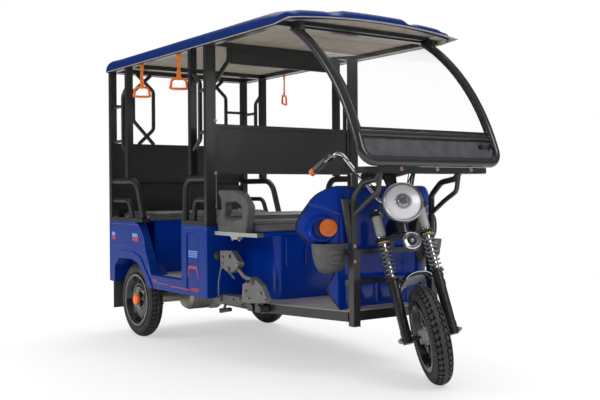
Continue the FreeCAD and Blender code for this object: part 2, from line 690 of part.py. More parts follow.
def pad(x0, x1, half, z0, high):
    """A plain cushion with rounded corners."""
    outline = [(x0, -half, z0), (x1, -half, z0), (x1, half, z0), (x0, half, z0)]
    solid = slab(outline, (0, 0, high), pad_corner)
    top = [e for e in solid.Edges if abs(e.BoundBox.ZMin - z0 - high) < 0.01 and e.BoundBox.ZLength < 0.01]
    return solid.makeFillet(14, top)


gap = S.fit_gap
part("driver_cushion", feature("DriverCushion", pad(S.panel_skin + 4, S.seat_front + 6, S.pad_half - 2,
                                                    pad_low + gap, S.pad_height)))

rear_bench_y = HOUSE_HALF - 2
part("rear_cushion", feature("RearCushion", pad(-S.rear_face + 34, -S.bench_front + 12, S.pad_half + 20,
                                                S.bench_top + gap, S.bench_pad)))
part("front_cushion", feature("FrontCushion", pad(-S.seat_front - 20, -S.main_post_depth - 6, S.pad_half,
                                                  S.bench_top + gap, S.bench_pad)))


ARM_OUTLINE = [(48, 20), (34, 96), (84, 136), (79, 193), (44, 232), (62, 243), (213, 238), (285, 226), (356, 157),
               (326, 20)]
ARM_HOLE = [(101, 93), (124, 136), (118, 176), (232, 182), (284, 157), (296, 128), (293, 98), (212, 81)]


def armrest(side):
    """A moulded loop with softened edges, standing on the bar beside the seat board."""
    thick = S.arm_thickness
    y = side * (S.pad_half + thick / 2) - thick / 2
    outer = slab([(x, y, S.seat_top + z) for x, z in ARM_OUTLINE], (0, thick, 0),
                 [14, 40, 24, 24, 10, 18, 90, 50, 12, 10])
    hole = slab([(x, y - 2, S.seat_top + z) for x, z in ARM_HOLE], (0, thick + 4, 0), [12, 22, 14, 24, 24, 8, 8, 14])
    loop = outer.cut(hole)
    face = side * (S.pad_half + thick)
    rim = [edge for edge in loop.Edges if abs(edge.BoundBox.YMin - face) < 0.1 and edge.BoundBox.YLength < 0.2]
    return loop.makeChamfer(5, rim)


def armrest_bar(side):
    """The flat bar under an armrest, with the clamp that holds it."""
    width = 40
    y = side * (S.pad_half + width / 2) - width / 2
    bar = Part.makeBox(430, width, 20, Vector(S.panel_skin + S.fit_gap, y, S.seat_top))
    clamp = [(158, S.seat_top), (249, S.seat_top), (225, S.seat_top - 18), (182, S.seat_top - 18)]
    return bar.fuse(slab([(x, y + 4, z) for x, z in clamp], (0, width - 8, 0)))


rests = [joined([armrest(side), armrest_bar(side)]) for side in (-1, 1)]
part("armrests", feature("Armrests", Part.makeCompound(rests)))

# Passenger benches: hollow sheet bases under both pads


def bench(x0, x1, half, z0, z1):
    skin = S.panel_skin
    return Part.makeBox(x1 - x0, 2 * half, z1 - z0, Vector(x0, -half, z0)).cut(
        Part.makeBox(x1 - x0 - 2 * skin, 2 * (half - skin), z1 - z0 - skin, Vector(x0 + skin, skin - half, z0)))


bases = [bench(-S.rear_face + S.panel_skin, -S.bench_front, rear_bench_y, S.floor_top, S.bench_top),
         bench(-S.seat_front, -gap, rear_bench_y, S.floor_top, S.bench_top)]
part("bench_bases", feature("BenchBases", Part.makeCompound(bases)))

# Leg shield: a curved sheet cut to the cowl's outline, with moulded pockets and lamp bosses

COWL_HALF = [(0, 925), (300, 925), (372, 882), (418, 794), (440, 729), (413, 678), (345, 612), (325, 570),
             (288, 511), (322, 440), (305, 394), (262, S.deck_top), (0, S.deck_top)]
COWL_RADII = [30, 60, 60, 40, 70, 40, 60, 40, 30, 40]


def curved_sheet(inner, outer, low, high):
    """A band between two depths of the cowl's plan curve, standing upright."""
    def curve(depth):
        half = [(790, 0), (795, 130), (838, 245), (775, 370), (690, 460)]
        points = [(x + depth, -y, low) for x, y in half[:0:-1]] + [(x + depth, y, low) for x, y in half]
        line = Part.BSplineCurve()
        line.interpolate([Vector(*p) for p in points])
        return line
    near, far = curve(inner), curve(outer)
    edges = [near.toShape(), Part.LineSegment(near.EndPoint, far.EndPoint).toShape(), far.toShape(),
             Part.LineSegment(far.StartPoint, near.StartPoint).toShape()]
    return Part.Face(Part.Wire(Part.__sortEdges__(edges))).extrude(Vector(0, 0, high - low))


SIGNAL_CENTRE = (800, 350, 722)
SIGNAL_RADIUS = 50


def signal_shape(profile, side):
    """A shape turned about a signal lamp's axis, which looks forwards and a little outwards."""
    x, y, z = SIGNAL_CENTRE
    return turned(profile, (x, side * y, z), (0.86, side * 0.5, 0.03))


def cowl():
    half = COWL_HALF[1:-1]
    outline = [(600, -y, z) for y, z in half] + [(600, y, z) for y, z in reversed(half)]
    radii = [30, 60, 60, 40, 60, 30, 40, 30, 40, 20, 1]
    front = slab(outline, (400, 0, 0), radii + radii[::-1])
    body = curved_sheet(-4, 0, S.deck_top, 925).common(front)
    r = SIGNAL_RADIUS
    bosses = [signal_shape([(r + 34, -40), (r + 10, 26), (r - 2, 26), (r - 2, 22), (r + 7, 22), (r + 30, -40)], side)
              for side in (-1, 1)]
    ahead = curved_sheet(-0.5, 90, S.deck_top, 925)
    return joined([body, *[boss.common(ahead) for boss in bosses]])


part("cowl", feature("Cowl", cowl()))


def pocket(side):
    outline = [(600, side * y, z) for y, z in ((352, 640), (140, 640), (140, 486), (250, 482), (330, 540))]
    front = slab(outline, (400, 0, 0), [10, 10, 20, 40, 40])
    return curved_sheet(gap, 30, S.deck_top, 925).common(front)


part("cowl_pockets", feature("CowlPockets", Part.makeCompound([pocket(-1), pocket(1)])))


lamps = [signal_shape([(0, 10), (46, 10), (46, 26 + gap), (SIGNAL_RADIUS, 26 + gap), (SIGNAL_RADIUS, 38), (44, 45),
                       (24, 49), (0, 50)], side).cut(curved_sheet(-60, gap, S.deck_top, 925)) for side in (-1, 1)]
part("turn_signals", feature("TurnSignals", Part.makeCompound(lamps)))

# Steering: everything that turns is built straight ahead and then turned about the raked axis

rake = math.radians(S.rake)
STEER_UP = Vector(-math.sin(rake), 0, math.cos(rake))
STEER_FORWARD = Vector(math.cos(rake), 0, math.sin(rake))
turn = math.radians(-S.steer)
axle_lean = -math.sin(rake) * math.sin(turn)
upright = math.sqrt(1 - axle_lean ** 2)
tyre_core = S.tyre_radius - S.tyre_height / 2
FRONT_Z = tyre_core * upright + math.hypot(S.tyre_height / 2 * upright, S.tyre_half_width * axle_lean)
WHEEL_CENTRE = Vector(S.front_axle, 0, FRONT_Z)


def steering_point(forward, left, up):
    """A point beside the steering axis, with the wheel straight ahead."""
    p = WHEEL_CENTRE + STEER_FORWARD * forward + Vector(0, left, 0) + STEER_UP * up
    return (p.x, p.y, p.z)


def steered(name, shape):
    shape = shape.copy()
    shape.rotate(WHEEL_CENTRE, STEER_UP, -S.steer)
    return feature(name, shape)


def steering_disc(profile, forward, left, up, axis):
    return turned(profile, steering_point(forward, left, up), (axis.x, axis.y, axis.z))


def tube_between(start, end, radius):
    a, b = Vector(*start), Vector(*end)
    return Part.makeCylinder(radius, (b - a).Length, a, b - a)


def steering_block(forward, left, up):
    """A block between two corners given beside the steering axis, square to that axis."""
    (f0, f1), (l0, l1), (u0, u1) = forward, left, up
    solid = Part.makeBox(f1 - f0, l1 - l0, u1 - u0)
    axes = FreeCAD.Matrix(STEER_FORWARD.x, 0, STEER_UP.x, 0, 0, 1, 0, 0, STEER_FORWARD.z, 0, STEER_UP.z, 0, 0, 0, 0, 1)
    solid.translate(Vector(f0, l0, u0))
    solid = solid.transformGeometry(axes)
    solid.translate(WHEEL_CENTRE)
    return solid


HEAD_LOW, HEAD_HIGH = 500, 612
STEM_RADIUS, HEAD_RADIUS = 17, 30
YOKE = 12


SPRING_LOW, SPRING_HIGH = 292, 470


def fork():
    half, leg = S.fork_half, S.fork_leg_radius
    low_yoke = steering_block((-32, 32), (-half - 30, half + 30), (HEAD_LOW - 5 - YOKE, HEAD_LOW - 5))
    top_yoke = steering_block((-32, 32), (-half - 30, half + 30), (HEAD_HIGH + 5, HEAD_HIGH + 5 + YOKE))
    stem = tube_between(steering_point(0, 0, HEAD_LOW - 10), steering_point(0, 0, HEAD_HIGH + 10), STEM_RADIUS)
    pieces = [low_yoke, top_yoke, stem]
    leg_sections = [(-20, SPRING_LOW - 6, leg + 2), (SPRING_LOW - 30, SPRING_LOW - 18, leg + 5),
                    (SPRING_LOW - 8, SPRING_LOW, leg + 11), (SPRING_LOW - 10, HEAD_HIGH + 22, leg * 0.72),
                    (SPRING_HIGH, SPRING_HIGH + 7, leg + 11), (SPRING_HIGH + 7, HEAD_HIGH + 17, leg),
                    (SPRING_HIGH + 22, SPRING_HIGH + 30, leg + 3)]
    for side in (-1, 1):
        y = side * half
        pieces += [tube_between(steering_point(0, y, a), steering_point(0, y, b), radius)
                   for a, b, radius in leg_sections]
        pieces.append(steering_block((-leg - 16, -leg + 6), (y - 9, y + 9), (-14, 210)))
        pieces.append(tube_between(steering_point(0, side * 137, 0), steering_point(0, side * 58, 0), 12))
    pieces.append(tube_between(steering_point(0, -149, 0), steering_point(0, 149, 0), 8))
    return joined(pieces)


part("fork", steered("Fork", fork()))


def springs():
    """Two coil springs around the fork's bright tubes, seated between their collars."""
    wire = S.coil_wire / 2
    low, high = SPRING_LOW + wire + gap, SPRING_HIGH - wire - gap
    coil_radius = S.fork_leg_radius + 9 - wire
    pitch = (high - low) / S.coil_turns
    section = Part.Wire(Part.makeCircle(wire, Vector(coil_radius, 0, 0), Vector(0, 1, 0)))
    coil = Part.makeHelix(pitch, high - low, coil_radius).makePipeShell([section], True, True)
    if coil.Volume < 0:
        coil = coil.reversed()
    coils = []
    for side in (-1, 1):
        spring = coil.copy()
        spring.Placement = Placement(Vector(*steering_point(0, side * S.fork_half, low)),
                                     Rotation(Vector(0, 0, 1), STEER_UP))
        coils.append(spring)
    return Part.makeCompound(coils)


part("fork_springs", steered("ForkSprings", springs()))


GRIP_INNER, GRIP_OUTER = (-62, 272, 962), (-124, 356, 928)


def handlebar():
    clamp_top = HEAD_HIGH + 70
    points = [(0, 0, clamp_top - 20), (0, 68, clamp_top - 18), (-10, 205, 974), GRIP_INNER, GRIP_OUTER]
    left = [steering_point(*p) for p in points]
    right = [steering_point(f, -l, u) for f, l, u in points[1:]]
    bar = bent_tube(right[::-1] + left[1:], 11, [34, 40, 60, 60, 40, 34])
    fittings = []
    inner, outer = Vector(*GRIP_INNER), Vector(*GRIP_OUTER)
    along = (outer - inner).normalize()
    for side in (-1, 1):
        def at(distance, forward=0.0, rise=0.0):
            p = inner + along * distance + Vector(forward, 0, rise)
            return steering_point(p.x, side * p.y, p.z)
        fittings.append(tube_between(at(0), at((outer - inner).Length), S.grip_radius))
        fittings.append(tube_between(at(-34), at(-6), 20))
        fittings.append(tube_between(at(-20), at(-20, 40, -8), 8))
        fittings.append(bent_tube([at(-20, 36, -8), at(24, 52, -14), at(96, 40, -16)], 4.5, 40))
    clamps = [steering_block((-18, 18), (y - 14, y + 14), (HEAD_HIGH + 17, clamp_top)) for y in (-42, 42)]
    return joined([bar, *fittings, *clamps])


part("handlebar", steered("Handlebar", handlebar()))


def headlight():
    r = S.lamp_radius
    bowl = [(0, 58), (r * 0.45, 62), (r * 0.75, 82), (r * 0.93, 110), (r, 128), (r + 3, 132), (r + 3, 148),
            (r - 3, 155), (r - 10, 153), (r - 12, 149), (r * 0.5, 156), (r * 0.42, 157), (r * 0.4, 162),
            (r * 0.24, 165), (r * 0.22, 170), (0, 172)]
    lamp = steering_disc(bowl, 0, 0, 588, STEER_FORWARD)
    ears = [steering_block((-8, 132), (min(side * (r - 6), side * r), max(side * (r - 6), side * r)), (560, 604))
            for side in (-1, 1)]
    legs = [tube_between(steering_point(0, side * S.fork_half, 400), steering_point(0, side * S.fork_half, 700),
                         S.fork_leg_radius + gap) for side in (-1, 1)]
    body = joined([lamp, *ears])
    for leg in legs:
        body = body.cut(leg)
    return body


part("headlight", steered("Headlight", headlight()))


def horn():
    profile = [(0, 96), (26, 96), (43, 112), (43, 132), (38, 136), (0, 130)]
    body = steering_disc(profile, 0, 0, 430, STEER_FORWARD)
    bracket = steering_block((20, 100), (-12, 12), (HEAD_LOW - 5 - YOKE - 6, HEAD_LOW - 5 - YOKE - gap))
    drop = steering_block((92, 98), (-12, 12), (436, HEAD_LOW - 5 - YOKE - 6))
    return joined([body, bracket, drop])


part("horn", steered("Horn", horn()))


def fender():
    """A short arched mudguard over the tyre, with stays to the legs."""
    inner, width = S.tyre_radius + 14, 58
    ring = turned([(inner, -width), (inner + 3, -width), (inner + 12, 0), (inner + 3, width), (inner, width),
                   (inner + 8, 0)], (WHEEL_CENTRE.x, 0, WHEEL_CENTRE.z))
    span = [steering_point(f, -120, u) for f, u in ((0, 0), (170, 300), (-200, 330))]
    arch = ring.common(slab(span, (0, 240, 0)))
    stays = [steering_block((-10, 10), (min(side * 50, side * 100), max(side * 50, side * 100)),
                            (inner - 2, inner + 8)) for side in (-1, 1)]
    body = joined([arch, *stays])
    for side in (-1, 1):
        body = body.cut(tube_between(steering_point(0, side * S.fork_half, 0),
                                     steering_point(0, side * S.fork_half, 400), S.fork_leg_radius + 2 + gap))
    return body


part("front_fender", steered("FrontFender", fender()))

# Wheels


def tyre(centre, axis):
    """A tyre with a rounded section and a flat bead, out to the crown of its tread."""
    p, q, core = S.tyre_height / 2, S.tyre_half_width, tyre_core
    steps = 20
    profile = []
    for i in range(steps + 1):
        angle = -0.86 * math.pi + 1.72 * math.pi * i / steps
        profile.append((core + p * math.cos(angle), q * math.sin(angle)))
    profile = [(max(r, S.rim_radius), a) for r, a in profile]
    return turned(profile, centre, axis)


def rim(centre, axis, hub_radius, hub_half, bore):
    """A pressed rim with a drop centre, a dished disc and a bored hub."""
    r = S.rim_radius
    edge = 37
    barrel = [(r - gap, -edge), (r - gap, edge), (r + 9, edge), (r + 9, edge + 4), (r - 12, edge + 4),
              (r - 16, edge - 4), (r - 26, 12), (r - 26, -12), (r - 16, 4 - edge), (r - 12, -edge - 4),
              (r + 9, -edge - 4), (r + 9, -edge)]
    drum = turned([(r - 30, -10), (r - 24, -10), (r - 24, 12), (r - 30, 12), (80, 22), (hub_radius - 2, 22),
                   (hub_radius - 2, 14), (76, 14)], centre, axis)
    hub = turned([(bore, -hub_half), (hub_radius, -hub_half), (hub_radius, hub_half), (bore, hub_half)], centre, axis)
    return joined([turned(barrel, centre, axis), drum, hub])


for name, side in (("right", -1), ("left", 1)):
    centre = (-S.axle_back, side * S.rear_track / 2, S.tyre_radius)
    axis = (0, side, 0)
    part(f"{name}_tyre", feature(f"{name.title()}Tyre", tyre(centre, axis)))
    wheel = rim(centre, axis, 48, 34, 12.05)
    cap = turned([(0, 34), (26, 34), (26, 44), (20, 50), (0, 52)], centre, axis)
    part(f"{name}_wheel", feature(f"{name.title()}Wheel", wheel.fuse(cap)))

centre = (WHEEL_CENTRE.x, 0, WHEEL_CENTRE.z)
part("front_tyre", steered("FrontTyre", tyre(centre, (0, 1, 0))))
part("front_wheel", steered("FrontWheel", rim(centre, (0, 1, 0), 34, 50, 8.05)))

# Rear axle with its differential and motor, and the leaf springs


def rear_axle():
    x, z = -S.axle_back, S.tyre_radius
    inner = S.rear_track / 2 - 42
    tube = tube_between((x, -inner, z), (x, inner, z), 32)
    stubs = tube_between((x, -S.rear_track / 2 - 20, z), (x, S.rear_track / 2 + 20, z), 12)
    case = turned([(0, -60), (70, -60), (98, -20), (98, 20), (70, 60), (0, 60)], (x, 40, z))
    gearbox = tube_between((x + 90, -60, z + 10), (x + 90, 30, z + 10), 62)
    motor = turned([(0, 0), (70, 0), (88, 12), (88, 150), (76, 168), (0, 168)], (x + 110, -60, z + 18), (0, -1, 0))
    return joined([tube, stubs, case, gearbox, motor])


part("rear_axle", feature("RearAxle", rear_axle()))


def leaf_springs():
    """Two packs of three leaves with eyes, hung under the floor frame."""
    packs = []
    y_centre, width, thick = HOUSE_HALF - S.rail_size / 2, 38, 8
    low = S.tyre_radius + 32 + gap
    for side in (-1, 1):
        y = side * y_centre - width / 2
        leaves = []
        for number, reach in enumerate((330, 240, 150)):
            sag = 32 * (reach / 330) ** 2
            z = low + thick * (2 - number)
            mid, end = Vector(-S.axle_back, y, z), sag
            a, b = Vector(-S.axle_back - reach, y, z + end), Vector(-S.axle_back + reach, y, z + end)
            up = Vector(0, 0, thick + 0.01)
            edges = [Part.Arc(a, mid, b).toShape(), Part.LineSegment(b, b + up).toShape(),
                     Part.Arc(b + up, mid + up, a + up).toShape(), Part.LineSegment(a + up, a).toShape()]
            leaves.append(Part.Face(Part.Wire(edges)).extrude(Vector(0, width, 0)))
        hangers = []
        for end in (-1, 1):
            x = -S.axle_back + end * 330
            z = low + 2 * thick + 36
            hangers.append(tube_between((x, y, z), (x, y + width, z), 16))
            hangers.append(Part.makeBox(28, width, S.deck_top - z, Vector(x - 14, y, z)))
        packs.append(joined(leaves + hangers))
    return Part.makeCompound(packs)


part("leaf_springs", feature("LeafSprings", leaf_springs()))

# Front guard: square posts on the platform's front edge, bent tubes up to the ring, cross bars, head tube


def front_guard():
    half, post = S.guard_half, S.guard_post
    x0 = S.guard_x - post / 2
    shapes = []
    sleeve_foot, sleeve_top = 264, 625
    for side in (-1, 1):
        y = side * half
        shapes.append(Part.makeBox(post, post, sleeve_top - sleeve_foot, Vector(x0, y - post / 2, sleeve_foot)))
        main = [(S.guard_x, y, sleeve_top - 5), (S.guard_x, y, 880), (S.guard_x + 70, y, 945),
                (S.ring_centre - 40, y, 960), (S.ring_centre - 15, y, S.ring_z + 2)]
        brace = [(S.guard_x, y, 790), (S.guard_x + 90, y, 852), (S.ring_centre - 30, y, 900),
                 (S.ring_centre - 15, y, S.ring_z + 2)]
        shapes.append(bent_tube(main, S.guard_tube_radius, [40, 60, 20]))
        shapes.append(bent_tube(brace, S.guard_tube_radius - 3, [60, 40]))
        shapes.append(Part.makeBox(2 * S.ring_radius - 2 * S.ring_bar + 4, 36, 5,
                                   Vector(S.ring_centre - S.ring_radius + S.ring_bar - 2, y - 18, S.ring_z)))
    bars = [Part.makeBox(25, 2 * half + post, 25, Vector(x0 - 25, -half - post / 2, z)) for z in (458, 600)]
    r, h = S.ring_radius, S.ring_half
    outer = [(S.ring_centre - r, -h, S.ring_z), (S.ring_centre + r, -h, S.ring_z), (S.ring_centre + r, h, S.ring_z),
             (S.ring_centre - r, h, S.ring_z)]
    t = S.ring_bar
    inner = [(S.ring_centre - r + t, t - h, S.ring_z - 1), (S.ring_centre + r - t, t - h, S.ring_z - 1),
             (S.ring_centre + r - t, h - t, S.ring_z - 1), (S.ring_centre - r + t, h - t, S.ring_z - 1)]
    ring = slab(outer, (0, 0, S.ring_height), r - 0.5).cut(slab(inner, (0, 0, S.ring_height + 2), r - t - 0.5))
    head = tube_between(steering_point(0, 0, HEAD_LOW), steering_point(0, 0, HEAD_HIGH), HEAD_RADIUS)
    bore = tube_between(steering_point(0, 0, HEAD_LOW - 5), steering_point(0, 0, HEAD_HIGH + 5), STEM_RADIUS + 0.05)
    gusset = [(x, -16, z) for x, z in ((x0 - 25, 615), (x0, 615), (x0, 685), (x0 + 20, 690), (966, 704), (934, 776),
                                       (x0, 762), (x0 - 25, 735))]
    shapes += bars + [ring, slab(gusset, (0, 32, 0)), head]
    return joined(shapes).cut(bore)


part("front_guard", feature("FrontGuard", front_guard()))

# Windscreen: arched tube frame with a lower panel, clear sheet and wiper

SCREEN_ARC = [(668, 1704), (1000, 1428), (1187, 1100)]
HEADER = (28, 17)


def screen_path(y, grow=0.0):
    a, b, c = (Vector(x + grow * 0.8, y, z + grow * 0.6) for x, z in SCREEN_ARC)
    return Part.Arc(a, b, c)


def screen_x(z, grow=0.0):
    """Where the screen's curve passes a height."""
    circle = screen_path(0, grow).toShape().Curve
    return circle.Center.x + math.sqrt(circle.Radius ** 2 - (z - circle.Center.z) ** 2)


def windscreen_frame():
    """Side tubes that turn into the lowest tube, sill bar, lower panel, header and its brackets, wiper."""
    half, r, low_z = S.screen_half, S.screen_tube, S.screen_low
    end = SCREEN_ARC[-1]
    last = screen_path(0).toShape()
    down = last.tangentAt(last.LastParameter)
    foot_x = end[0] + abs(down.x) * (end[1] - low_z) / abs(down.z)
    pieces = [swept(Part.Wire(screen_path(side * half).toShape()), r) for side in (-1, 1)]
    bend = 64
    pieces.append(bent_tube([(end[0], -half, end[1]), (foot_x, -half, low_z), (foot_x, half, low_z),
                             (end[0], half, end[1])], r, [bend, bend]))
    sill_x, sill_r = screen_x(S.screen_sill), r * 0.8
    pieces.append(tube_between((sill_x, -half, S.screen_sill), (sill_x, half, S.screen_sill), sill_r))
    panel = slab([(sill_x, -half, S.screen_sill), (foot_x, 30 - half, low_z), (foot_x, half - 30, low_z),
                  (sill_x, half, S.screen_sill)], (4, 0, 1))
    depth, high = HEADER
    front = 700
    top = lift - 1
    pieces.append(Part.makeBox(depth, 2 * half, high, Vector(front, -half, top - high)))
    for side in (-1, 1):
        plate = [(691, top), (front + depth + 34, top - 14), (764, 1668), (735, 1660), (691, 1682)]
        pieces.append(slab([(x, side * half - 14, z) for x, z in plate], (0, 28, 0), [2, 14, 6, 6, 2]))
    pieces += wiper(foot_x)
    below_board = Part.makeBox(1000, 1200, lift - 900, Vector(500, -600, 900))
    clear_of_frame = Part.makeBox(200, 1200, 40, Vector(690 - 200, -600, S.post_top - 10))
    return joined(pieces + [panel]).common(below_board).cut(clear_of_frame)


def wiper(foot_x):
    """Pivots on the lower panel, their link, and an arm with its blade beside the left tube."""
    y, spread = S.screen_half - 44, 62
    middle = Vector((screen_x(S.screen_sill) + foot_x) / 2 - 2, 0, (S.screen_sill + S.screen_low) / 2 + 14)
    out = Vector(0.93, 0, 0.36)

    def at(across, reach):
        return Vector(middle.x, across, middle.z) + out * reach
    pieces = [tube_between(at(y, 0), at(y, 34), 11), tube_between(at(y - spread, 0), at(y - spread, 22), 11),
              tube_between(at(y, 14), at(y - spread, 14), 5)]
    arm_y, stand = S.screen_half - 30, 16
    heights = (1190, 1290, 1400)
    line = [at(y, 30)] + [Vector(screen_x(z, stand), arm_y, z) for z in heights]
    pieces.append(bent_tube([tuple(p) for p in line], 4, [30, 60]))
    return pieces


part("windscreen_frame", feature("WindscreenFrame", windscreen_frame()))


def windscreen_glass():
    y = -S.screen_half + S.screen_tube + gap
    near, far = screen_path(y, -2), screen_path(y, 2)
    edges = [near.toShape(), Part.LineSegment(near.EndPoint, far.EndPoint).toShape(), far.toShape(),
             Part.LineSegment(far.StartPoint, near.StartPoint).toShape()]
    sheet_solid = Part.Face(Part.Wire(Part.__sortEdges__(edges))).extrude(Vector(0, -2 * y, 0))
    low = S.screen_sill + S.screen_tube * 0.8 + gap
    above = Part.makeBox(1000, 1200, 1655 - low, Vector(400, -600, low))
    return sheet_solid.common(above)


part("windscreen_glass", feature("WindscreenGlass", windscreen_glass()))

# Closed-in battery block inside the seat box
part("battery_pack", box("BatteryPack", "seat_front - 70", "2 * seat_half - 80", "260",
                         ("panel_skin + 20", "40 - seat_half", "deck_top + 0.3")))

# Parking brake beside the seat and foot bracket under the floor


def brake_controls():
    """A ratchet head beside the seat, a tube down to the casting on the platform's edge, a foot lever below."""
    y, deck = -S.deck_half - 68, S.deck_top
    thick = 34

    def plate(points, radii, depth, start):
        return slab([(x, start, z) for x, z in points], (0, depth, 0), radii)
    head = plate([(88, 592), (208, 594), (286, 530), (232, 492), (200, 480), (150, 486), (92, 510)],
                 [6, 16, 14, 10, 12, 12, 8], thick, y - thick / 2)
    slots = [tube_between((x, y - 30, z), (x, y - 6, z), r) for x, z, r in ((120, 560, 7), (118, 526, 6), (190, 568, 12))]
    pin = tube_between((176, y - 26, 500), (176, y + 20, 500), 10)
    knob = turned([(0, -6), (17, -6), (22, 0), (22, 18), (16, 24), (0, 24)], (52, y, 563), (0, -1, 0))
    stalk = tube_between((60, y, 563), (96, y, 563), 7)
    ear = Part.makeBox(34, 44, 20, Vector(S.panel_skin + gap, y + thick / 2 - 2, 540))
    tab = Part.makeBox(80, 10, 20, Vector(30, y + thick / 2 - 2, 540))
    tube = bent_tube([(226, y, 520), (300, y, 470), (392, y, 450)], 11, 50)
    boss = turned([(0, -26), (17, -26), (20, -20), (20, 22), (0, 22)], (388, y, 452), (0, -1, 0))
    casting = plate([(300, 430), (352, 446), (398, 474), (478, 436), (532, 372), (512, 352), (400, 340), (292, 334)],
                    [14, 30, 30, 40, 12, 10, 30, 8], 26, y - 8)
    webs = [Part.makeBox(30, 30, 96, Vector(x, y + 16, deck - 44)) for x in (310, 380)]
    reach = -S.deck_half - y
    seats = [Part.makeBox(50, reach - 16, 30, Vector(x, y + 16, deck - 42)) for x in (305, 380)]
    cable_path = rounded_path([(100, y, 512), (62, y, 486), (42, y, 420), (40, y, 352), (64, y, 320)], [40, 70, 60])
    cable = swept(cable_path, 4)
    foot = plate([(4, 330), (60, 352), (244, 356), (300, 340), (240, 318), (150, 308), (60, 306), (8, 316)],
                 [6, 20, 20, 8, 20, 20, 20, 6], 12, y + 4)
    hanger = Part.makeBox(80, reach - 10, 16, Vector(60, y + 10, 338))
    lever = bent_tube([(110, y + 10, 318), (72, y + 10, 268), (74, y - 12, 262), (190, y - 12, 284)], 7, [12, 8])
    return joined([head.cut(Part.makeCompound(slots)), pin, knob, stalk, ear, tab, tube, boss, casting, *webs, *seats,
                   cable, foot, hanger, lever])


part("brake_controls", feature("BrakeControls", brake_controls()))

# Grab straps, mudflaps and tail lamps


def grab_strap(x, side):
    """A webbing loop, pinched in the middle, with a moulded stirrup handle."""
    y, top = side * (S.half_width - S.post_size / 2), S.post_top
    across = Vector(0.43, side * -0.9, 0)
    normal = Vector(across.y, -across.x, 0)

    def at(reach, drop):
        p = Vector(x, y, top - drop) + across * reach
        return (p.x, p.y, p.z)
    waist = S.strap_drop * 0.45
    band = slab([at(*p) for p in ((-13, 0), (13, 0), (8, waist), (11, S.strap_drop + 2), (-11, S.strap_drop + 2),
                                  (-8, waist))], tuple(normal * 3))
    band.translate(normal * -1.5)
    wide, narrow = S.strap_half, S.strap_half * 0.72
    handle = [at(-narrow, S.strap_drop + 6), at(narrow, S.strap_drop + 6), at(wide, S.strap_drop + 60),
              at(-wide, S.strap_drop + 60)]
    return joined([band, swept(rounded_path(handle, 18, closed=True), 6)])


straps = [grab_strap(-842, -1), grab_strap(-352, -1), grab_strap(-762, 1)]
part("grab_straps", feature("GrabStraps", Part.makeCompound(straps)))

flaps = []
flap_inner, flap_outer = "rear_track / 2 - flap_inward", "rear_track / 2 + flap_outward"
for side, (a, b) in {"Right": (f"-({flap_outer})", f"-({flap_inner})"), "Left": (flap_inner, flap_outer)}.items():
    low, high = "flap_low", "panel_bottom - fit_gap"
    flap = sketched(side + "Flap", "YZ_Plane", [(a, low), (b, low), (b, high), (a, high)], "flap_sheet")
    place(flap, ("-flap_x", "0", "0"))
    flaps.append(flap)
part("mudflaps", group("Mudflaps", flaps))



def tail_lamp(side):
    """A moulded lamp with rounded corners and softened front edges."""
    y, x, half, low, high, depth = side * (S.half_width - 60), -S.rear_face, 30, 560, 680, 26
    lamp = slab([(x, y - half, low), (x, y + half, low), (x, y + half, high), (x, y - half, high)], (-depth, 0, 0), 12)
    rear = [edge for edge in lamp.Edges if edge.BoundBox.XMax < x - depth + 1]
    return lamp.makeChamfer(5, rear)


tails = [tail_lamp(side) for side in (-1, 1)]
part("tail_lamps", feature("TailLamps", Part.makeCompound(tails)))

# Check every object, then write one file for each piece

doc.recompute()
faults = [f"{obj.Label} failed: {obj.State}" for obj in doc.Objects if {"Invalid", "Error"} & set(obj.State)]
for node, obj in PARTS.items():
    shape = obj.Shape
    if shape.isNull() or not shape.isValid() or not shape.Solids:
        faults.append(f"{node} has no valid shape")
if faults:
    raise SystemExit("\n".join(faults))
os.makedirs("parts", exist_ok=True)
for node, obj in PARTS.items():
    shape = obj.Shape
    shape.exportStep(f"parts/{node}.step")
    room = shape.BoundBox
    print(f"{node}: {len(shape.Solids)} solids, {shape.Volume / 1e6:.2f} litres, X {room.XMin:.0f}..{room.XMax:.0f}"
          f" Y {room.YMin:.0f}..{room.YMax:.0f} Z {room.ZMin:.1f}..{room.ZMax:.1f}")
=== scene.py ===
# %% [markdown]
# # A battery rickshaw, dressed for a studio picture
# The engineering model already holds every rigid piece at its real size. This file loads it as a fixed
# frame, gives each piece the finish of the real one, and adds what sheet metal and tube alone don't show:
# tread, stitched cushions, bolts, cables and trim. All lengths in the cells are millimetres and are turned
# to metres once.

# %% Load the frame
import json
import math

import bmesh
import bpy
from mathutils import Matrix, Vector


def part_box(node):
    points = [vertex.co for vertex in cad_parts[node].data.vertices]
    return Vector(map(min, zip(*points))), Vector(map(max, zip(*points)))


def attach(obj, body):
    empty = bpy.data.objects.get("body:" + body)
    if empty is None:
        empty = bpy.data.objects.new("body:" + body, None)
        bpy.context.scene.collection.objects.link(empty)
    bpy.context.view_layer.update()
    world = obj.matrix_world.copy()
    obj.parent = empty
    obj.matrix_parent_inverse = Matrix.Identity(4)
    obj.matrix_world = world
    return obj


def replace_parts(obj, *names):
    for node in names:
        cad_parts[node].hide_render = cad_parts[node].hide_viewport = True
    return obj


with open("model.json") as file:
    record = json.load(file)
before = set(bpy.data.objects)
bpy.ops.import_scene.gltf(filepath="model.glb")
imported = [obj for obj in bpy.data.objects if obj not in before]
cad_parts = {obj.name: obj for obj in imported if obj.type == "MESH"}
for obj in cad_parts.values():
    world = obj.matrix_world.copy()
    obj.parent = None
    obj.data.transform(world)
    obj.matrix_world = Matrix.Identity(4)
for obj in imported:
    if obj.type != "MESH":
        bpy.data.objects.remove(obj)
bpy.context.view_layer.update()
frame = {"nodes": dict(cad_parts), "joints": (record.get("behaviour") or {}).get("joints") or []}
nodes = frame["nodes"]
MM = 0.001
print(f"{len(nodes)} pieces of the frame loaded")

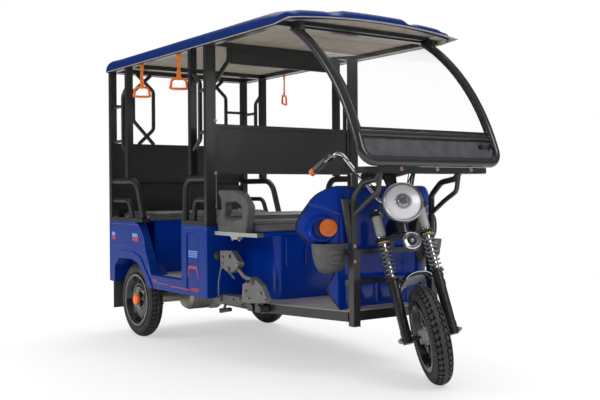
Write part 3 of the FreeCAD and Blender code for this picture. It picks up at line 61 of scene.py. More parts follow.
# %% [markdown]
# ## Colour and shader helpers
# Paint makers and cameras speak sRGB, but the renderer adds light in linear units, so one function turns a
# hex colour to linear. Shader nodes could be made one property at a time. One small function that adds a
# node with its settings and links is shorter, and each finish below then reads as a list of what happens to
# the light.

# %% Helpers for finishes


def colour(code, alpha=1.0):
    """The linear colour of an sRGB hex value."""
    parts = [int(code[i:i + 2], 16) / 255 for i in (1, 3, 5)]
    return tuple(p / 12.92 if p <= 0.04045 else ((p + 0.055) / 1.055) ** 2.4 for p in parts) + (alpha,)


def add(finish, kind, inputs=None, **settings):
    """Adds a shader node, sets its properties, and fills or links its inputs."""
    item = finish.node_tree.nodes.new("ShaderNode" + kind)
    for name, value in settings.items():
        setattr(item, name, value)
    for name, value in (inputs or {}).items():
        socket = item.inputs[name]
        if isinstance(value, bpy.types.NodeSocket):
            finish.node_tree.links.new(value, socket)
        else:
            socket.default_value = value
    return item


def new_finish(name, **surface):
    """A material whose principled shader has the given values; returns it with its shader."""
    finish = bpy.data.materials.new(name)
    finish.use_nodes = True
    shader = finish.node_tree.nodes["Principled BSDF"]
    for socket, value in surface.items():
        shader.inputs[socket.replace("_", " ")].default_value = value
    return finish, shader


def wire(finish, shader, **outputs):
    """Links node outputs into sockets of the shader."""
    for socket, output in outputs.items():
        finish.node_tree.links.new(output, shader.inputs[socket.replace("_", " ")])


def per_mm(size):
    """The scale of a pattern that repeats every so many millimetres, on coordinates in metres."""
    return 1000 / size


print("sRGB #808080 is", round(colour("#808080")[0], 3), "in linear light")

# %% [markdown]
# ## Painted steel
# Body sheets are pressed steel with a gloss enamel. Sprayed enamel never lies quite flat: it has a faint
# ripple a few millimetres wide, called orange peel, and handling dulls it in clouds a hand wide. Tubes get
# the same paint in black, laid on thicker and less glossy. A picture of paint could be wrapped round each
# piece, but noise on the piece's own coordinates needs no unwrapping and has its true size everywhere.

# %% Enamel finishes


def enamel(name, dark, light, roughness, peel=3.0, coat=0.4, gloss=0.5):
    """Sprayed enamel: clouds in the colour, clouds in the shine, and orange peel."""
    finish, shader = new_finish(name, Roughness=roughness, Coat_Weight=coat, Coat_Roughness=0.12,
                                Specular_IOR_Level=gloss)
    place = add(finish, "TexCoord").outputs["Object"]
    clouds = add(finish, "TexNoise", {"Vector": place, "Scale": per_mm(400), "Detail": 2})
    tint = add(finish, "ValToRGB", {"Fac": clouds.outputs["Fac"]})
    for stop, at, code in zip(tint.color_ramp.elements, (0.2, 0.8), (dark, light)):
        stop.position, stop.color = at, colour(code)
    wear = add(finish, "TexNoise", {"Vector": place, "Scale": per_mm(160), "Detail": 2})
    shine = add(finish, "MapRange", {"Value": wear.outputs["Fac"], "From Min": 0.3, "From Max": 0.7,
                                     "To Min": roughness - 0.03, "To Max": roughness + 0.03})
    ripple = add(finish, "TexNoise", {"Vector": place, "Scale": per_mm(peel), "Detail": 2})
    relief = add(finish, "Bump", {"Height": ripple.outputs["Fac"], "Distance": 0.01 * MM, "Strength": 0.12})
    wire(finish, shader, Base_Color=tint.outputs["Color"], Roughness=shine.outputs["Result"],
         Normal=relief.outputs["Normal"])
    return finish


# Lighter copy of the blue paint, deep blue with a crisp highlight: painted light that lifts the seat box,
# bulkhead and benches in the shade of the cab.
blue_enamel = enamel("gloss blue enamel on pressed steel", "#003094", "#00359B", 0.24, 3.0, 0.2, 0.2)
# Darker copy of the same paint for the sides and tail, with a broad highlight: painted shade that holds
# back the stronger light on the outside.
painted_shade_enamel = enamel("blue enamel darkened as painted shade", "#012B7C", "#033082", 0.3, 3.0, 0.1, 0.12)
# Tubes: near black, with a narrow bright line along each of them.
black_enamel = enamel("semi-gloss black enamel on steel tube", "#19191A", "#232325", 0.34, 2.0)
# Flat black sheets: flatter, and a little paler than the tubes.
black_sheet = enamel("satin black enamel on steel sheet", "#202021", "#29292A", 0.42, 2.0, 0.15)
# The floor: mottled grey, worn dull by shoes.
grey_enamel = enamel("worn grey enamel on steel sheet", "#85827F", "#A09D99", 0.5, 2.5, 0.1)
# Bars and sleeves: a plain light grey that stands out from the black tubes. On the bare metal front hub it is
# a painted reflection, which keeps the hub bright.
bar_enamel = enamel("light grey enamel on flat bar", "#9A9A97", "#A4A4A1", 0.4, 2.0, 0.1)
# Rims: the glossiest black of the vehicle.
rim_enamel = enamel("gloss black enamel on rims", "#0B0B0C", "#131314", 0.2, 2.0, 0.6)
# Vinyl films of the stripes: flat colours, smoother than the paint below them.
red_film = enamel("red vinyl film", "#B3262B", "#BD2A2F", 0.4, 2.0, 0.1)
pale_film = enamel("pale blue vinyl film", "#5F8FC6", "#6A9ACF", 0.4, 2.0, 0.1)
print(len(bpy.data.materials), "finishes after the enamels")

# %% [markdown]
# ## Glass fibre
# The leg shield and the roof are glass fibre laid in polished moulds. The gel coat that comes out of the
# mould is glossy, with a slow ripple about a hand wide that bends reflections. The roof is given no gloss,
# and a colour darker than that of the paint.

# %% Gel coats


def gelcoat(name, dark, light):
    """Glass fibre with a polished gel coat, slightly wavy over a hand's width."""
    finish, shader = new_finish(name, Roughness=0.2, Coat_Weight=0.35, Coat_Roughness=0.05,
                                Specular_IOR_Level=0.15)
    place = add(finish, "TexCoord").outputs["Object"]
    clouds = add(finish, "TexNoise", {"Vector": place, "Scale": per_mm(300), "Detail": 2})
    tint = add(finish, "ValToRGB", {"Fac": clouds.outputs["Fac"]})
    for stop, at, code in zip(tint.color_ramp.elements, (0.2, 0.8), (dark, light)):
        stop.position, stop.color = at, colour(code)
    wave = add(finish, "TexNoise", {"Vector": place, "Scale": per_mm(90), "Detail": 1})
    relief = add(finish, "Bump", {"Height": wave.outputs["Fac"], "Distance": 0.3 * MM, "Strength": 0.08})
    wire(finish, shader, Base_Color=tint.outputs["Color"], Normal=relief.outputs["Normal"])
    return finish


# Leg shield: a sharp highlight over blue that seems to lie deeper than paint.
blue_gelcoat = gelcoat("blue gel coat on glass fibre", "#002B88", "#003090")
# Roof: dark blue right up to its outline, with no mirror of the sky along the edge.
roof_gelcoat, _ = new_finish("dull dark blue gel coat", Base_Color=colour("#082868"), Roughness=0.5,
                             Specular_IOR_Level=0.06)
print(blue_gelcoat.name, "and", roof_gelcoat.name)

# %% [markdown]
# ## Plastic, rubber, board and leathercloth
# Moulded plastic, rubber and the PVC skin of the seats all take their surface from a tool or a roller: a
# grain of small cells, one to four millimetres wide. Smooth Voronoi cells as relief give it, with a little
# noise in the colour. Woven straps are drawn with the same cells at the width of their yarns.

# %% Grained finishes


def grained(name, dark, light, roughness, grain=1.6):
    """A moulded or rolled skin with a grain of small cells."""
    finish, shader = new_finish(name, Roughness=roughness)
    place = add(finish, "TexCoord").outputs["Object"]
    clouds = add(finish, "TexNoise", {"Vector": place, "Scale": per_mm(60), "Detail": 4})
    tint = add(finish, "ValToRGB", {"Fac": clouds.outputs["Fac"]})
    for stop, at, code in zip(tint.color_ramp.elements, (0.35, 0.65), (dark, light)):
        stop.position, stop.color = at, colour(code)
    cells = add(finish, "TexVoronoi", {"Vector": place, "Scale": per_mm(grain)}, feature="SMOOTH_F1")
    relief = add(finish, "Bump", {"Height": cells.outputs["Distance"], "Distance": 0.15 * MM,
                                  "Strength": 0.5})
    wire(finish, shader, Base_Color=tint.outputs["Color"], Normal=relief.outputs["Normal"])
    return finish


# Handrails and housings: black that greys where light grazes the grain.
black_moulding = grained("black moulded plastic", "#121213", "#1C1C1D", 0.45)
# Armrests and pockets: an even middle grey with a soft shine.
grey_moulding = grained("grey moulded plastic", "#444543", "#525351", 0.48)
# Roof lining: warm and matt, with a coarse texture.
liner_board = grained("pale textured lining board", "#9C9384", "#AAA192", 0.8, 4.0)
# Rubbers: matt tyres and mudflaps, smoother profiles; the tread's grooves are painted near black as shade.
rubber_sheet = grained("moulded rubber sheet", "#363634", "#424240", 0.7, 3.0)
tyre_rubber = grained("tyre rubber", "#2B2B2B", "#383837", 0.72, 2.2)
groove_shade_rubber = grained("shaded tread groove", "#0B0B0B", "#101010", 0.85)
black_rubber = grained("black rubber profile", "#0F0F10", "#1A1A1A", 0.55, 2.0)
grip_rubber = grained("grey rubber grip", "#55585A", "#63666A", 0.75, 1.4)
# Orange handles and their woven straps, in two close tones.
orange_moulding = grained("orange moulded plastic", "#EE6A12", "#F67A1C", 0.4)
webbing = grained("woven orange strap", "#E8741C", "#F78A28", 0.7, 1.2)
# Seats: grey leathercloth that shines along its creases, piped in a darker tone.
leathercloth = grained("grey leathercloth", "#4C4D50", "#58595C", 0.4, 2.4)
seat_piping = grained("dark piping cord", "#1C1D20", "#26272A", 0.55, 1.6)
panel_cloth = grained("charcoal grained sheet", "#3A3A3F", "#48484E", 0.65, 2.0)
# Hollows that no light reaches are given as almost black.
deep_shadow = grained("unlit hollow", "#050505", "#070707", 0.9)
print(len(bpy.data.materials), "finishes with the grained ones")

# %% [markdown]
# ## Bare and plated metal
# Bare metal differs by how it was made: cast parts are pitted, turned parts keep fine rings, and chrome is
# smooth. All of them are fully metallic, so their colour is that of their reflections. Noise moves the
# roughness, because fingers and weather dull metal in patches, and a finer noise gives the pits.

# %% Metal finishes


def bare_metal(name, code, roughness, pitting=2.0, depth=0.05):
    """Unpainted metal, its surface broken up by fine pits."""
    finish, shader = new_finish(name, Base_Color=colour(code), Metallic=1.0, Roughness=roughness)
    place = add(finish, "TexCoord").outputs["Object"]
    patches = add(finish, "TexNoise", {"Vector": place, "Scale": per_mm(25), "Detail": 5})
    shine = add(finish, "MapRange", {"Value": patches.outputs["Fac"], "From Min": 0.3, "From Max": 0.7,
                                     "To Min": roughness - 0.06, "To Max": roughness + 0.14})
    pits = add(finish, "TexNoise", {"Vector": place, "Scale": per_mm(pitting), "Detail": 3})
    relief = add(finish, "Bump", {"Height": pits.outputs["Fac"], "Distance": depth * MM, "Strength": 0.4})
    wire(finish, shader, Roughness=shine.outputs["Result"], Normal=relief.outputs["Normal"])
    return finish


# Plating: bright chrome on bar and horn; the mudguard's shell gets a darker copy of it, painted shade, while
# its beaded edges keep the bright chrome.
chrome_plate = bare_metal("chrome plate", "#D5D7DA", 0.1, 30, 0.02)
shaded_chrome_copy = bare_metal("chrome plate with painted shade", "#5C6068", 0.08, 1.5)
# Fasteners: blue-white zinc, and yellow zinc that looks like copper against black.
silver_steel = bare_metal("zinc plated steel", "#A9ABAF", 0.34, 1.5)
copper_bolt = bare_metal("yellow zinc plated steel", "#C4A088", 0.38, 1.5)
# Springs: ground bar, dulled by oil.
spring_steel = bare_metal("dulled spring steel", "#8E9095", 0.4, 1.5)
# Castings: coarse and grey where cast in sand, paler and finer where cast in a die.
cast_alloy = bare_metal("sand cast alloy", "#8C8A88", 0.55, 2.5, 0.3)
alloy_housing = bare_metal("die cast motor housing", "#CFC8BC", 0.5, 3.0, 0.2)
# Thin brass rings under the fork's springs.
brass = bare_metal("turned brass", "#C9B06A", 0.3, 1.2)
print(len(bpy.data.materials), "finishes with the metals")

# %% [markdown]
# ## Lenses and the screen
# Indicator and tail lenses are acrylic with small prisms on their inside, so light breaks up in cells
# inside them. They let a third of the light through. The windscreen is a thin clear sheet: seen whole, its
# two faces bend light back again, and a low index of refraction gives that without tracing both faces.

# %% Lens finishes


def lens(name, code, amount, roughness=0.08):
    """Coloured acrylic with prisms five millimetres wide."""
    finish, shader = new_finish(name, Base_Color=colour(code), Roughness=roughness, IOR=1.49,
                                Transmission_Weight=amount, Coat_Weight=0.3)
    place = add(finish, "TexCoord").outputs["Object"]
    prisms = add(finish, "TexVoronoi", {"Vector": place, "Scale": per_mm(5)})
    relief = add(finish, "Bump", {"Height": prisms.outputs["Distance"], "Distance": 0.6 * MM,
                                  "Strength": 0.5})
    wire(finish, shader, Normal=relief.outputs["Normal"])
    return finish


orange_lens = lens("orange acrylic lens", "#E8700F", 0.35)
red_lens = lens("red acrylic lens", "#B01010", 0.35)
# The screen: all but invisible, a faint shine apart.
clear_sheet, _ = new_finish("clear acrylic sheet", Base_Color=colour("#FFFFFF"), Roughness=0.0, IOR=1.15,
                            Transmission_Weight=1.0)
clear_sheet.blend_method = "BLEND"
# The headlight's face: pale and milky, so the bulb behind it doesn't show.
frosted_lens, _ = new_finish("fluted clear lens", Base_Color=colour("#D2D1D4"), Roughness=0.3,
                             Coat_Weight=0.5, Coat_Roughness=0.05)
print(len(bpy.data.materials), "finishes in all")

# %% [markdown]
# ## Finishes of the engineering model
# Every piece that comes with the frame keeps its shape and only changes its finish. The finishes could be
# set piece by piece, but a table of finish to pieces shows at a glance what is made of what. Two pieces
# have parts of another colour, so the faces of those parts are picked by their place.

# %% Give each frame piece its finish
finishes = {
    # the lighter copy of the blue paint: painted light on parts in the cab's shade
    blue_enamel: "bulkhead seat_box bench_bases",
    # the darker copy of the blue paint: painted shade on the sides and tail
    painted_shade_enamel: "right_side_panel left_side_panel tail_panel",
    blue_gelcoat: "roof_shell cowl",
    black_enamel: "floor_frame roof_frame right_posts left_posts rear_grille front_guard windscreen_frame "
                  "fork leaf_springs",
    rim_enamel: "left_wheel right_wheel front_wheel",
    black_sheet: "cabin_panels",
    grey_enamel: "floor_plate",
    grey_moulding: "armrests cowl_pockets",
    liner_board: "roof_liner",
    leathercloth: "driver_cushion rear_cushion front_cushion",
    orange_lens: "turn_signals",
    red_lens: "tail_lamps",
    clear_sheet: "windscreen_glass",
    tyre_rubber: "front_tyre right_tyre left_tyre",
    black_moulding: "right_handrails left_handrails battery_pack",
    chrome_plate: "horn front_fender headlight handlebar",
    spring_steel: "fork_springs",
    alloy_housing: "rear_axle",
    cast_alloy: "brake_controls",
    rubber_sheet: "mudflaps",
    orange_moulding: "grab_straps",
}
for finish, names in finishes.items():
    for name in names.split():
        nodes[name].data.materials.clear()
        nodes[name].data.materials.append(finish)
unfinished = [name for name in nodes if nodes[name].data.materials[0] not in finishes]
print(f"{len(nodes) - len(unfinished)} pieces finished, still plain: {unfinished}")


def two_tone(node, second, inside):
    """Gives the faces whose middle passes a test a second finish."""
    data = nodes[node].data
    data.materials.append(second)
    for face in data.polygons:
        if inside(nodes[node].matrix_world @ face.center / MM):
            face.material_index = len(data.materials) - 1


two_tone("armrests", bar_enamel, lambda p: p.z < 689 and p.x < 300)
two_tone("brake_controls", black_enamel, lambda p: p.z < 345)

# %% [markdown]
# ## Building the pieces
# Every added piece is built in mesh code from a few kinds of form: a ring of points extruded from place to
# place, a profile spun about an axis, and a flat outline given thickness. Modelling by hand in the editor
# gives the same, but code keeps the sizes. Positions are millimetres in the vehicle's frame, and each piece
# rides the body that carries it, so it moves with the wheel or the steering.

# %% Helpers for pieces


def piece(name, mesh, finish, body="chassis", crease=35.0):
    """Turns a mesh in progress into an object that rides on a body."""
    bmesh.ops.recalc_face_normals(mesh, faces=mesh.faces)
    data = bpy.data.meshes.new(name)
    mesh.to_mesh(data)
    mesh.free()
    data.materials.append(finish)
    data.shade_smooth()
    data.set_sharp_from_angle(angle=math.radians(crease))
    obj = bpy.data.objects.new(name, data)
    bpy.context.scene.collection.objects.link(obj)
    print(f"{name}: {len(data.polygons)} faces, on {body}")
    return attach(obj, body)

# %% [markdown]
# Two forms make most pieces. Sheet and moulding go from outline to outline, so a ring of points is extruded
# and its new points are put in place. Lathe work is a profile spun a full turn. The points of a profile
# that lie on the axis drift a little as they are spun, and are made one afterwards.

# %% Extruded and spun forms


def skin(mesh, rings, around=True, caps=True, endless=False):
    """Extrudes a ring of points from place to place; a tube gets caps, and an endless one meets its start."""
    rows = [[mesh.verts.new(Vector(p) * MM) for p in rings[0]]]
    edges = [mesh.edges.new(pair) for pair in zip(rows[0][1:] + (rows[0][:1] if around else []), rows[0])]
    for ring in rings[1:] + (rings[:1] if endless else []):
        grown = bmesh.ops.extrude_edge_only(mesh, edges=edges)["geom"]
        edges = [g for g in grown if isinstance(g, bmesh.types.BMEdge)]
        new = {g for g in grown if isinstance(g, bmesh.types.BMVert)}
        rows.append([next(e.other_vert(v) for e in v.link_edges if e.other_vert(v) in new) for v in rows[-1]])
        for vertex, p in zip(rows[-1], ring):
            vertex.co = Vector(p) * MM
    if endless:
        bmesh.ops.weld_verts(mesh, targetmap=dict(zip(rows[-1], rows[0])))
    elif caps and around:
        mesh.faces.new(rows[0][::-1])
        mesh.faces.new(rows[-1])


def revolve(mesh, profile, centre, axis, steps=32):
    """A profile of (radius, distance along the axis) spun about an axis, with each pole made one point."""
    axis, centre = Vector(axis).normalized(), Vector(centre)
    side = axis.orthogonal().normalized()
    before = set(mesh.verts)
    row = [mesh.verts.new((centre + axis * along + side * radius) * MM) for radius, along in profile]
    edges = [mesh.edges.new(pair) for pair in zip(row, row[1:])]
    bmesh.ops.spin(mesh, geom=row + edges, cent=centre * MM, axis=axis, angle=math.tau, steps=steps,
                   use_merge=True)
    near = 0.02 * MM  # more than spinning drifts, and less than any real radius
    poles = [v for v in mesh.verts if v not in before and (v.co - centre * MM).cross(axis).length < near]
    bmesh.ops.remove_doubles(mesh, verts=poles, dist=near)

# %% [markdown]
# Tube, cable, seam and rubber profile follow a line through a few measured points. A spline that passes
# through every one of them gives the line, and a section carried along without twisting gives the piece.

# %% Lines and sweeps


def curve_through(points, samples=8, closed=False):
    """Points on a smooth line through the given ones."""
    spots = [Vector(p) for p in points]
    count = len(spots)
    line = []
    for i in range(count if closed else count - 1):
        a, b, c, d = (spots[(i + k) % count] if closed else spots[min(max(i + k, 0), count - 1)]
                      for k in (-1, 0, 1, 2))
        for s in range(samples):
            t = s / samples
            line.append(0.5 * ((2 * b) + (c - a) * t + (2 * a - 5 * b + 4 * c - d) * t ** 2
                               + (3 * b - a - 3 * c + d) * t ** 3))
    return line if closed else line + [spots[-1]]


def sweep(mesh, line, section, closed=False, start_side=None):
    """A section of (sideways, upwards) offsets carried along a line without twisting."""
    count = len(line)
    side, rings = start_side, []
    for i, spot in enumerate(line):
        back = line[i - 1] if closed or i else spot
        ahead = line[(i + 1) % count] if closed or i < count - 1 else spot
        along = (ahead - back).normalized()
        side = along.orthogonal() if side is None else Vector(side)
        side = (side - along * side.dot(along)).normalized()
        up_side = along.cross(side)
        rings.append([spot + side * a + up_side * b for a, b in section])
    skin(mesh, rings, endless=closed)


def disc_section(radius, steps=10):
    """The section of a round rod or tube."""
    turns = [math.tau * i / steps for i in range(steps)]
    return [(radius * math.cos(t), radius * math.sin(t)) for t in turns]

# %% [markdown]
# What is cut from sheet is an outline with a thickness, its far edges softened where the eye sees them.
# Bolts and turned pieces are spun profiles, made often enough to have functions of their own.

# %% Plates, bolts and turned pieces


def plate(mesh, outline, thickness, soften=0.0):
    """A flat outline given thickness along a vector, its far edges softened."""
    first = [mesh.verts.new(Vector(p) * MM) for p in outline]
    face = mesh.faces.new(first)
    grown = bmesh.ops.extrude_face_region(mesh, geom=[face])["geom"]
    moved = [g for g in grown if isinstance(g, bmesh.types.BMVert)]
    bmesh.ops.translate(mesh, verts=moved, vec=Vector(thickness) * MM)
    if soften:
        far = set(moved)
        edges = [g for g in grown if isinstance(g, bmesh.types.BMEdge) and set(g.verts) <= far]
        bmesh.ops.bevel(mesh, geom=edges, offset=soften * MM, segments=2, affect="EDGES", profile=0.5,
                        material=-1)


def bolt(mesh, at, axis, size=13.0):
    """A hexagon bolt with its washer, the head's corners rounded off, and a domed end."""
    half, high = size * 0.577, size * 0.45
    revolve(mesh, [(0, 0), (size * 0.85, 0), (size * 0.85, 1.6), (0, 1.6)], at, axis, 20)
    head = [(0, 1.6), (half, 1.6), (half, high), (half * 0.84, high + 1.4), (0, high + 1.4)]
    revolve(mesh, head, at, axis, 6)
    revolve(mesh, [(size * 0.28, high + 1.4), (size * 0.28, high + 3.4), (0, high + 4.4)], at, axis, 12)


def turned(name, profile, centre, axis, steps, finish, body="chassis"):
    """A piece that is one profile spun about an axis."""
    mesh = bmesh.new()
    revolve(mesh, profile, centre, axis, steps)
    return piece(name, mesh, finish, body)


def turn_way(side, other, share):
    """The direction at a share of a turn, from one side towards the other."""
    return side * math.cos(math.tau * share) + other * math.sin(math.tau * share)

# %% [markdown]
# The fork stands turned and raked, so its parts are placed in directions of its own: up along the head
# tube, left along the front axle, and forward across both, all from the hub of the front wheel.

# %% Directions of the steering
joints = {joint["name"]: joint for joint in frame["joints"]}
hub = Vector(joints["front_wheel_spin"]["pos_m"]) / MM
lean = Vector(joints["steering"]["axis"])
leftward = Vector(joints["front_wheel_spin"]["axis"])
forward = leftward.cross(lean)


def steer(ahead, left, up):
    """A point given from the front hub: ahead of the steering axis, to its left, and up along it."""
    return hub + forward * ahead + leftward * left + lean * up


print(f"head tube raked {math.degrees(math.acos(abs(lean.z))):.1f} degrees")

# %% [markdown]
# ## Tyres
# A tyre gets its tread in a hot press. The pattern could be a relief on a smooth skin, but the edges of the
# blocks catch the light, so they are true blocks: a zigzag rib round the middle, stepped blocks beside it
# and shoulder blocks outside. Half a pitch lies between left and right. They stand on a carcass 6.5 mm
# lower that is painted near black as the shade in the grooves, and thin rings run round the sidewalls.

# %% Tyres with their tread
TYRE_OUT, TYRE_HIGH, TYRE_HALF = 233.8, 41.0, 44.8
BEAD_RADIUS, TYRE_STEPS = 158.3, 92
PITCHES, GROOVE = 46, 6.5
TREAD_EDGE, WALL_END = 1.36, 0.86 * math.pi
WALL_RINGS = ((1.86, 1.96), (2.2, 2.36))
RIB_STEPS = ((0.0, 8.0), (0.38, 8.0), (0.5, 12.5), (0.88, 12.5))
INNER_BLOCK = [(17, 0.02), (25, 0.02), (25, 0.14), (34, 0.14), (34, 0.62), (28, 0.62), (28, 0.76), (20, 0.76),
               (20, 0.5), (15, 0.44), (15, 0.1)]
SHOULDER_BLOCKS = [[(39, 0.1), (58, 0.06), (60, 0.14), (60, 0.46), (47, 0.5), (39, 0.5)],
                   [(39, 0.62), (60, 0.6), (60, 0.94), (48, 0.98), (39, 0.98)]]


def wheel_frame(place_name, hand=1):
    """A wheel's centre, its axis towards the given hand, and two directions across the axis."""
    joint = joints[place_name + "_wheel_spin"]
    axis = Vector(joint["axis"]).normalized() * hand
    side = axis.orthogonal().normalized()
    return Vector(joint["pos_m"]) / MM, axis, side, axis.cross(side)


def tyre(place_name):
    """The carcass of a tyre, painted near black as shade in the grooves, and the rubber that stands out from
    it.
    """
    node, body = place_name + "_tyre", place_name + "_road_wheel"
    centre, axis, side, other = wheel_frame(place_name)
    core, mean = TYRE_OUT - TYRE_HIGH, (TYRE_HIGH + TYRE_HALF) / 2

    def spot(across, turn, sunk=0.0):
        """A point of the tread, by its distance from the middle line and its share of a turn."""
        radius = core + (TYRE_HIGH - sunk) * math.cos(across / mean)
        beside = (TYRE_HALF - sunk) * math.sin(across / mean)
        return centre + turn_way(side, other, turn) * radius + axis * beside

    def wall(angle, sunk):
        """Radius and distance from the middle plane, by the angle on the tyre's section."""
        radius = core + (TYRE_HIGH - sunk) * math.cos(angle)
        return max(radius, BEAD_RADIUS), (TYRE_HALF - sunk) * math.sin(angle)

    profile = [wall(TREAD_EDGE * (i / 8 - 1), GROOVE) for i in range(17)]
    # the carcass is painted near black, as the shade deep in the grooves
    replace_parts(turned(node + "_carcass", profile, centre, axis, TYRE_STEPS, groove_shade_rubber, body), node)
    mesh = bmesh.new()
    for hand in (-1, 1):
        rows = [wall(hand * TREAD_EDGE, GROOVE)]
        for i in range(22):
            angle = TREAD_EDGE + (WALL_END - TREAD_EDGE) * i / 21
            raised = any(low < angle < high for low, high in WALL_RINGS)
            rows.append(wall(hand * angle, 0.0 if raised else 1.2))
        revolve(mesh, rows, centre, axis, TYRE_STEPS)
    rib = []
    for p in range(PITCHES):
        for share, half in RIB_STEPS:
            turn = (p + share) / PITCHES
            rib.append([spot(-half, turn, GROOVE + 1), spot(-half, turn), spot(0, turn), spot(half, turn),
                        spot(half, turn, GROOVE + 1)])
    skin(mesh, rib, around=False, endless=True)
    for p in range(PITCHES):
        for hand, shift in ((1, 0.0), (-1, 0.5)):
            for block in [INNER_BLOCK] + SHOULDER_BLOCKS:
                spots = [(hand * across, (p + share + shift) / PITCHES) for across, share in block]
                skin(mesh, [[spot(a, t, GROOVE + 1) for a, t in spots], [spot(a, t) for a, t in spots]])
    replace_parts(piece(node + "_tread", mesh, tyre_rubber, body, 30), node)


for place_name in ("front", "right", "left"):
    tyre(place_name)

# %% [markdown]
# ## Wheels
# The rims are pressed steel, so their rings and the turned lips of their slots are thin shells laid over
# the solid rim. The holes could be cut through it. A flat dark plate in each slot looks the same, as
# nothing shows behind. Each rear wheel has five nuts, a valve and an orange hub cap.

# %% Rear rims, nuts and caps
RIM_FLANGE = [(146, 40.6), (150, 43), (157, 43.4), (165, 42.5), (167.5, 40.6)]
SLOTS, SLOT_RADIUS, SLOT_LENGTH, SLOT_WIDTH = 8, 119, 38, 17
SLOT_LIP = ((0.0, 3.0), (3.2, 1.0), (3.2, 0.0), (0.4, 0.0))  # heights and growths of its four rings


def stadium(centre, out, along, grow, steps=6):
    """Outline of a slot with round ends."""
    half, r = (SLOT_LENGTH - SLOT_WIDTH) / 2, SLOT_WIDTH / 2 + grow
    points = []
    for end in (1, -1):
        for i in range(steps + 1):
            t = math.pi * (i / steps - 0.5)
            points.append(centre + along * end * (half + r * math.cos(t)) + out * end * r * math.sin(t))
    return points


def disc_height(radius):
    """How far the pressed disc stands out from the wheel's middle plane at a radius."""
    return 22 - (radius - 80) * 10 / 54


for name, hand in (("right", -1), ("left", 1)):
    wheel = name + "_road_wheel"
    centre, axis, side, other = wheel_frame(name, hand)
    rim, holes, nuts = bmesh.new(), bmesh.new(), bmesh.new()
    ring = [(r, disc_height(r) + h) for r, h in ((92, 0.5), (96, 3.0), (101, 3.0), (105, 0.5))]
    inner_ring = [(70, 22.2), (73, 25.5), (79, 25.5), (83, 21.6)]
    for profile, steps in ((ring, 72), (inner_ring, 64), (RIM_FLANGE, 80)):
        revolve(rim, profile, centre, axis, steps)
    for i in range(SLOTS):
        out = turn_way(side, other, (i + 0.5) / SLOTS)
        at = centre + out * SLOT_RADIUS + axis * disc_height(SLOT_RADIUS)
        along = axis.cross(out)
        skin(rim, [stadium(at + axis * high, out, along, grow) for high, grow in SLOT_LIP], caps=False)
        plate(holes, stadium(at + axis * 0.3, out, along, -0.2), axis * 0.4)
    for i in range(5):
        bolt(nuts, centre + turn_way(side, other, i / 5) * 61 + axis * 22, axis, 15)
    revolve(nuts, [(4, 34), (4, 58), (2.4, 60), (0, 60)], centre + side * 134, axis, 12)
    piece(name + "_rim_pressing", rim, rim_enamel, wheel)
    piece(name + "_rim_slots", holes, deep_shadow, wheel)
    piece(name + "_wheel_nuts", nuts, silver_steel, wheel)
    cap = [(34, 33.5), (35, 36), (34, 46), (30, 51), (18, 54), (0, 55)]
    turned(name + "_hub_cap", cap, centre, axis, 40, orange_moulding, wheel)

# %% [markdown]
# The front wheel carries no drive. It has a turned hub with a bearing boss on each side, and six yellow
# bolts hold each half of its rim. The same lathe profiles serve both sides, so they are spun once to the
# left and once to the right.

# %% Front hub and rim
centre, axis, side, other = wheel_frame("front")
sleeve, bolts, rim = bmesh.new(), bmesh.new(), bmesh.new()
for hand in (-1, 1):
    boss = [(27, 50.4), (30, 50.8), (34.6, 47), (34.6, 24), (43, 22), (43, 17)]
    revolve(sleeve, boss, centre, axis * hand, 48)
    for i in range(6):
        bolt(bolts, centre + turn_way(side, other, i / 6) * 56 + axis * hand * 20, axis * hand, 13)
    revolve(rim, RIM_FLANGE, centre, axis * hand, 80)
    stand = 1 if hand > 0 else 0.2  # the disc is dished to one side
    ring = [(r, disc_height(r) * stand + h) for r, h in ((96, 0.5), (100, 3), (106, 3), (110, 0.5))]
    revolve(rim, ring, centre, axis * hand, 72)
# the bare metal hub is painted light grey: a painted reflection that keeps it bright
piece("front_hub_sleeve", sleeve, bar_enamel, "front_road_wheel")
piece("front_hub_bolts", bolts, copper_bolt, "front_road_wheel")
piece("front_rim_pressing", rim, rim_enamel, "front_road_wheel")

# %% [markdown]
# ## Fork
# The upper fork tubes wear light grey sleeves, chromed stanchions show between the coils, and the lower
# sliders are black with a rib down the front. All of them are lathe work, so they are profiles spun about
# each leg, and only the ribs are plates. The nuts sit on the ends of the axle.

# %% Fork covers
LEG_OFFSET = 110
FORK_RINGS = (
    ("fork_cover_tubes", bar_enamel,
     (([(22.3, 508), (23.2, 508), (23.2, 594), (24.4, 598), (24.4, 606), (22.2, 606)], 28),)),
    ("fork_chrome", chrome_plate,
     (([(22.2, 488), (25.6, 489), (25.6, 503), (23, 507), (22.2, 507)], 28),
      ([(16.1, 300), (16.4, 300), (16.4, 469), (16.1, 469)], 28),
      ([(0, 634.2), (14, 634.2), (14, 636), (10, 640), (0, 641)], 20))),
    ("fork_brass_rings", brass,
     (([(33.2, 470), (34.6, 472), (34.6, 475), (33.2, 477)], 36),)),
    ("fork_slider_ribs", black_enamel,
     (([(33.2, 284), (35, 286), (35, 291), (33.2, 293)], 36),
      ([(24.3, 214), (26.5, 216), (26.5, 240), (24.3, 242)], 28),
      ([(24.3, 16), (26, 18), (26, 40), (24.3, 42)], 28))))
for name, finish, profiles in FORK_RINGS:
    mesh = bmesh.new()
    for left in (-LEG_OFFSET, LEG_OFFSET):
        for profile, steps in profiles:
            revolve(mesh, profile, steer(0, left, 0), lean, steps)
        for low, high in ((60, 96), (112, 148), (164, 200)) if name == "fork_slider_ribs" else ():
            rib = [steer(a, left + b, low) for a, b in ((20, -6), (28, -5), (28, 5), (20, 6))]
            plate(mesh, rib, lean * (high - low), 1.5)
    piece(name, mesh, finish, "steering")
mesh = bmesh.new()
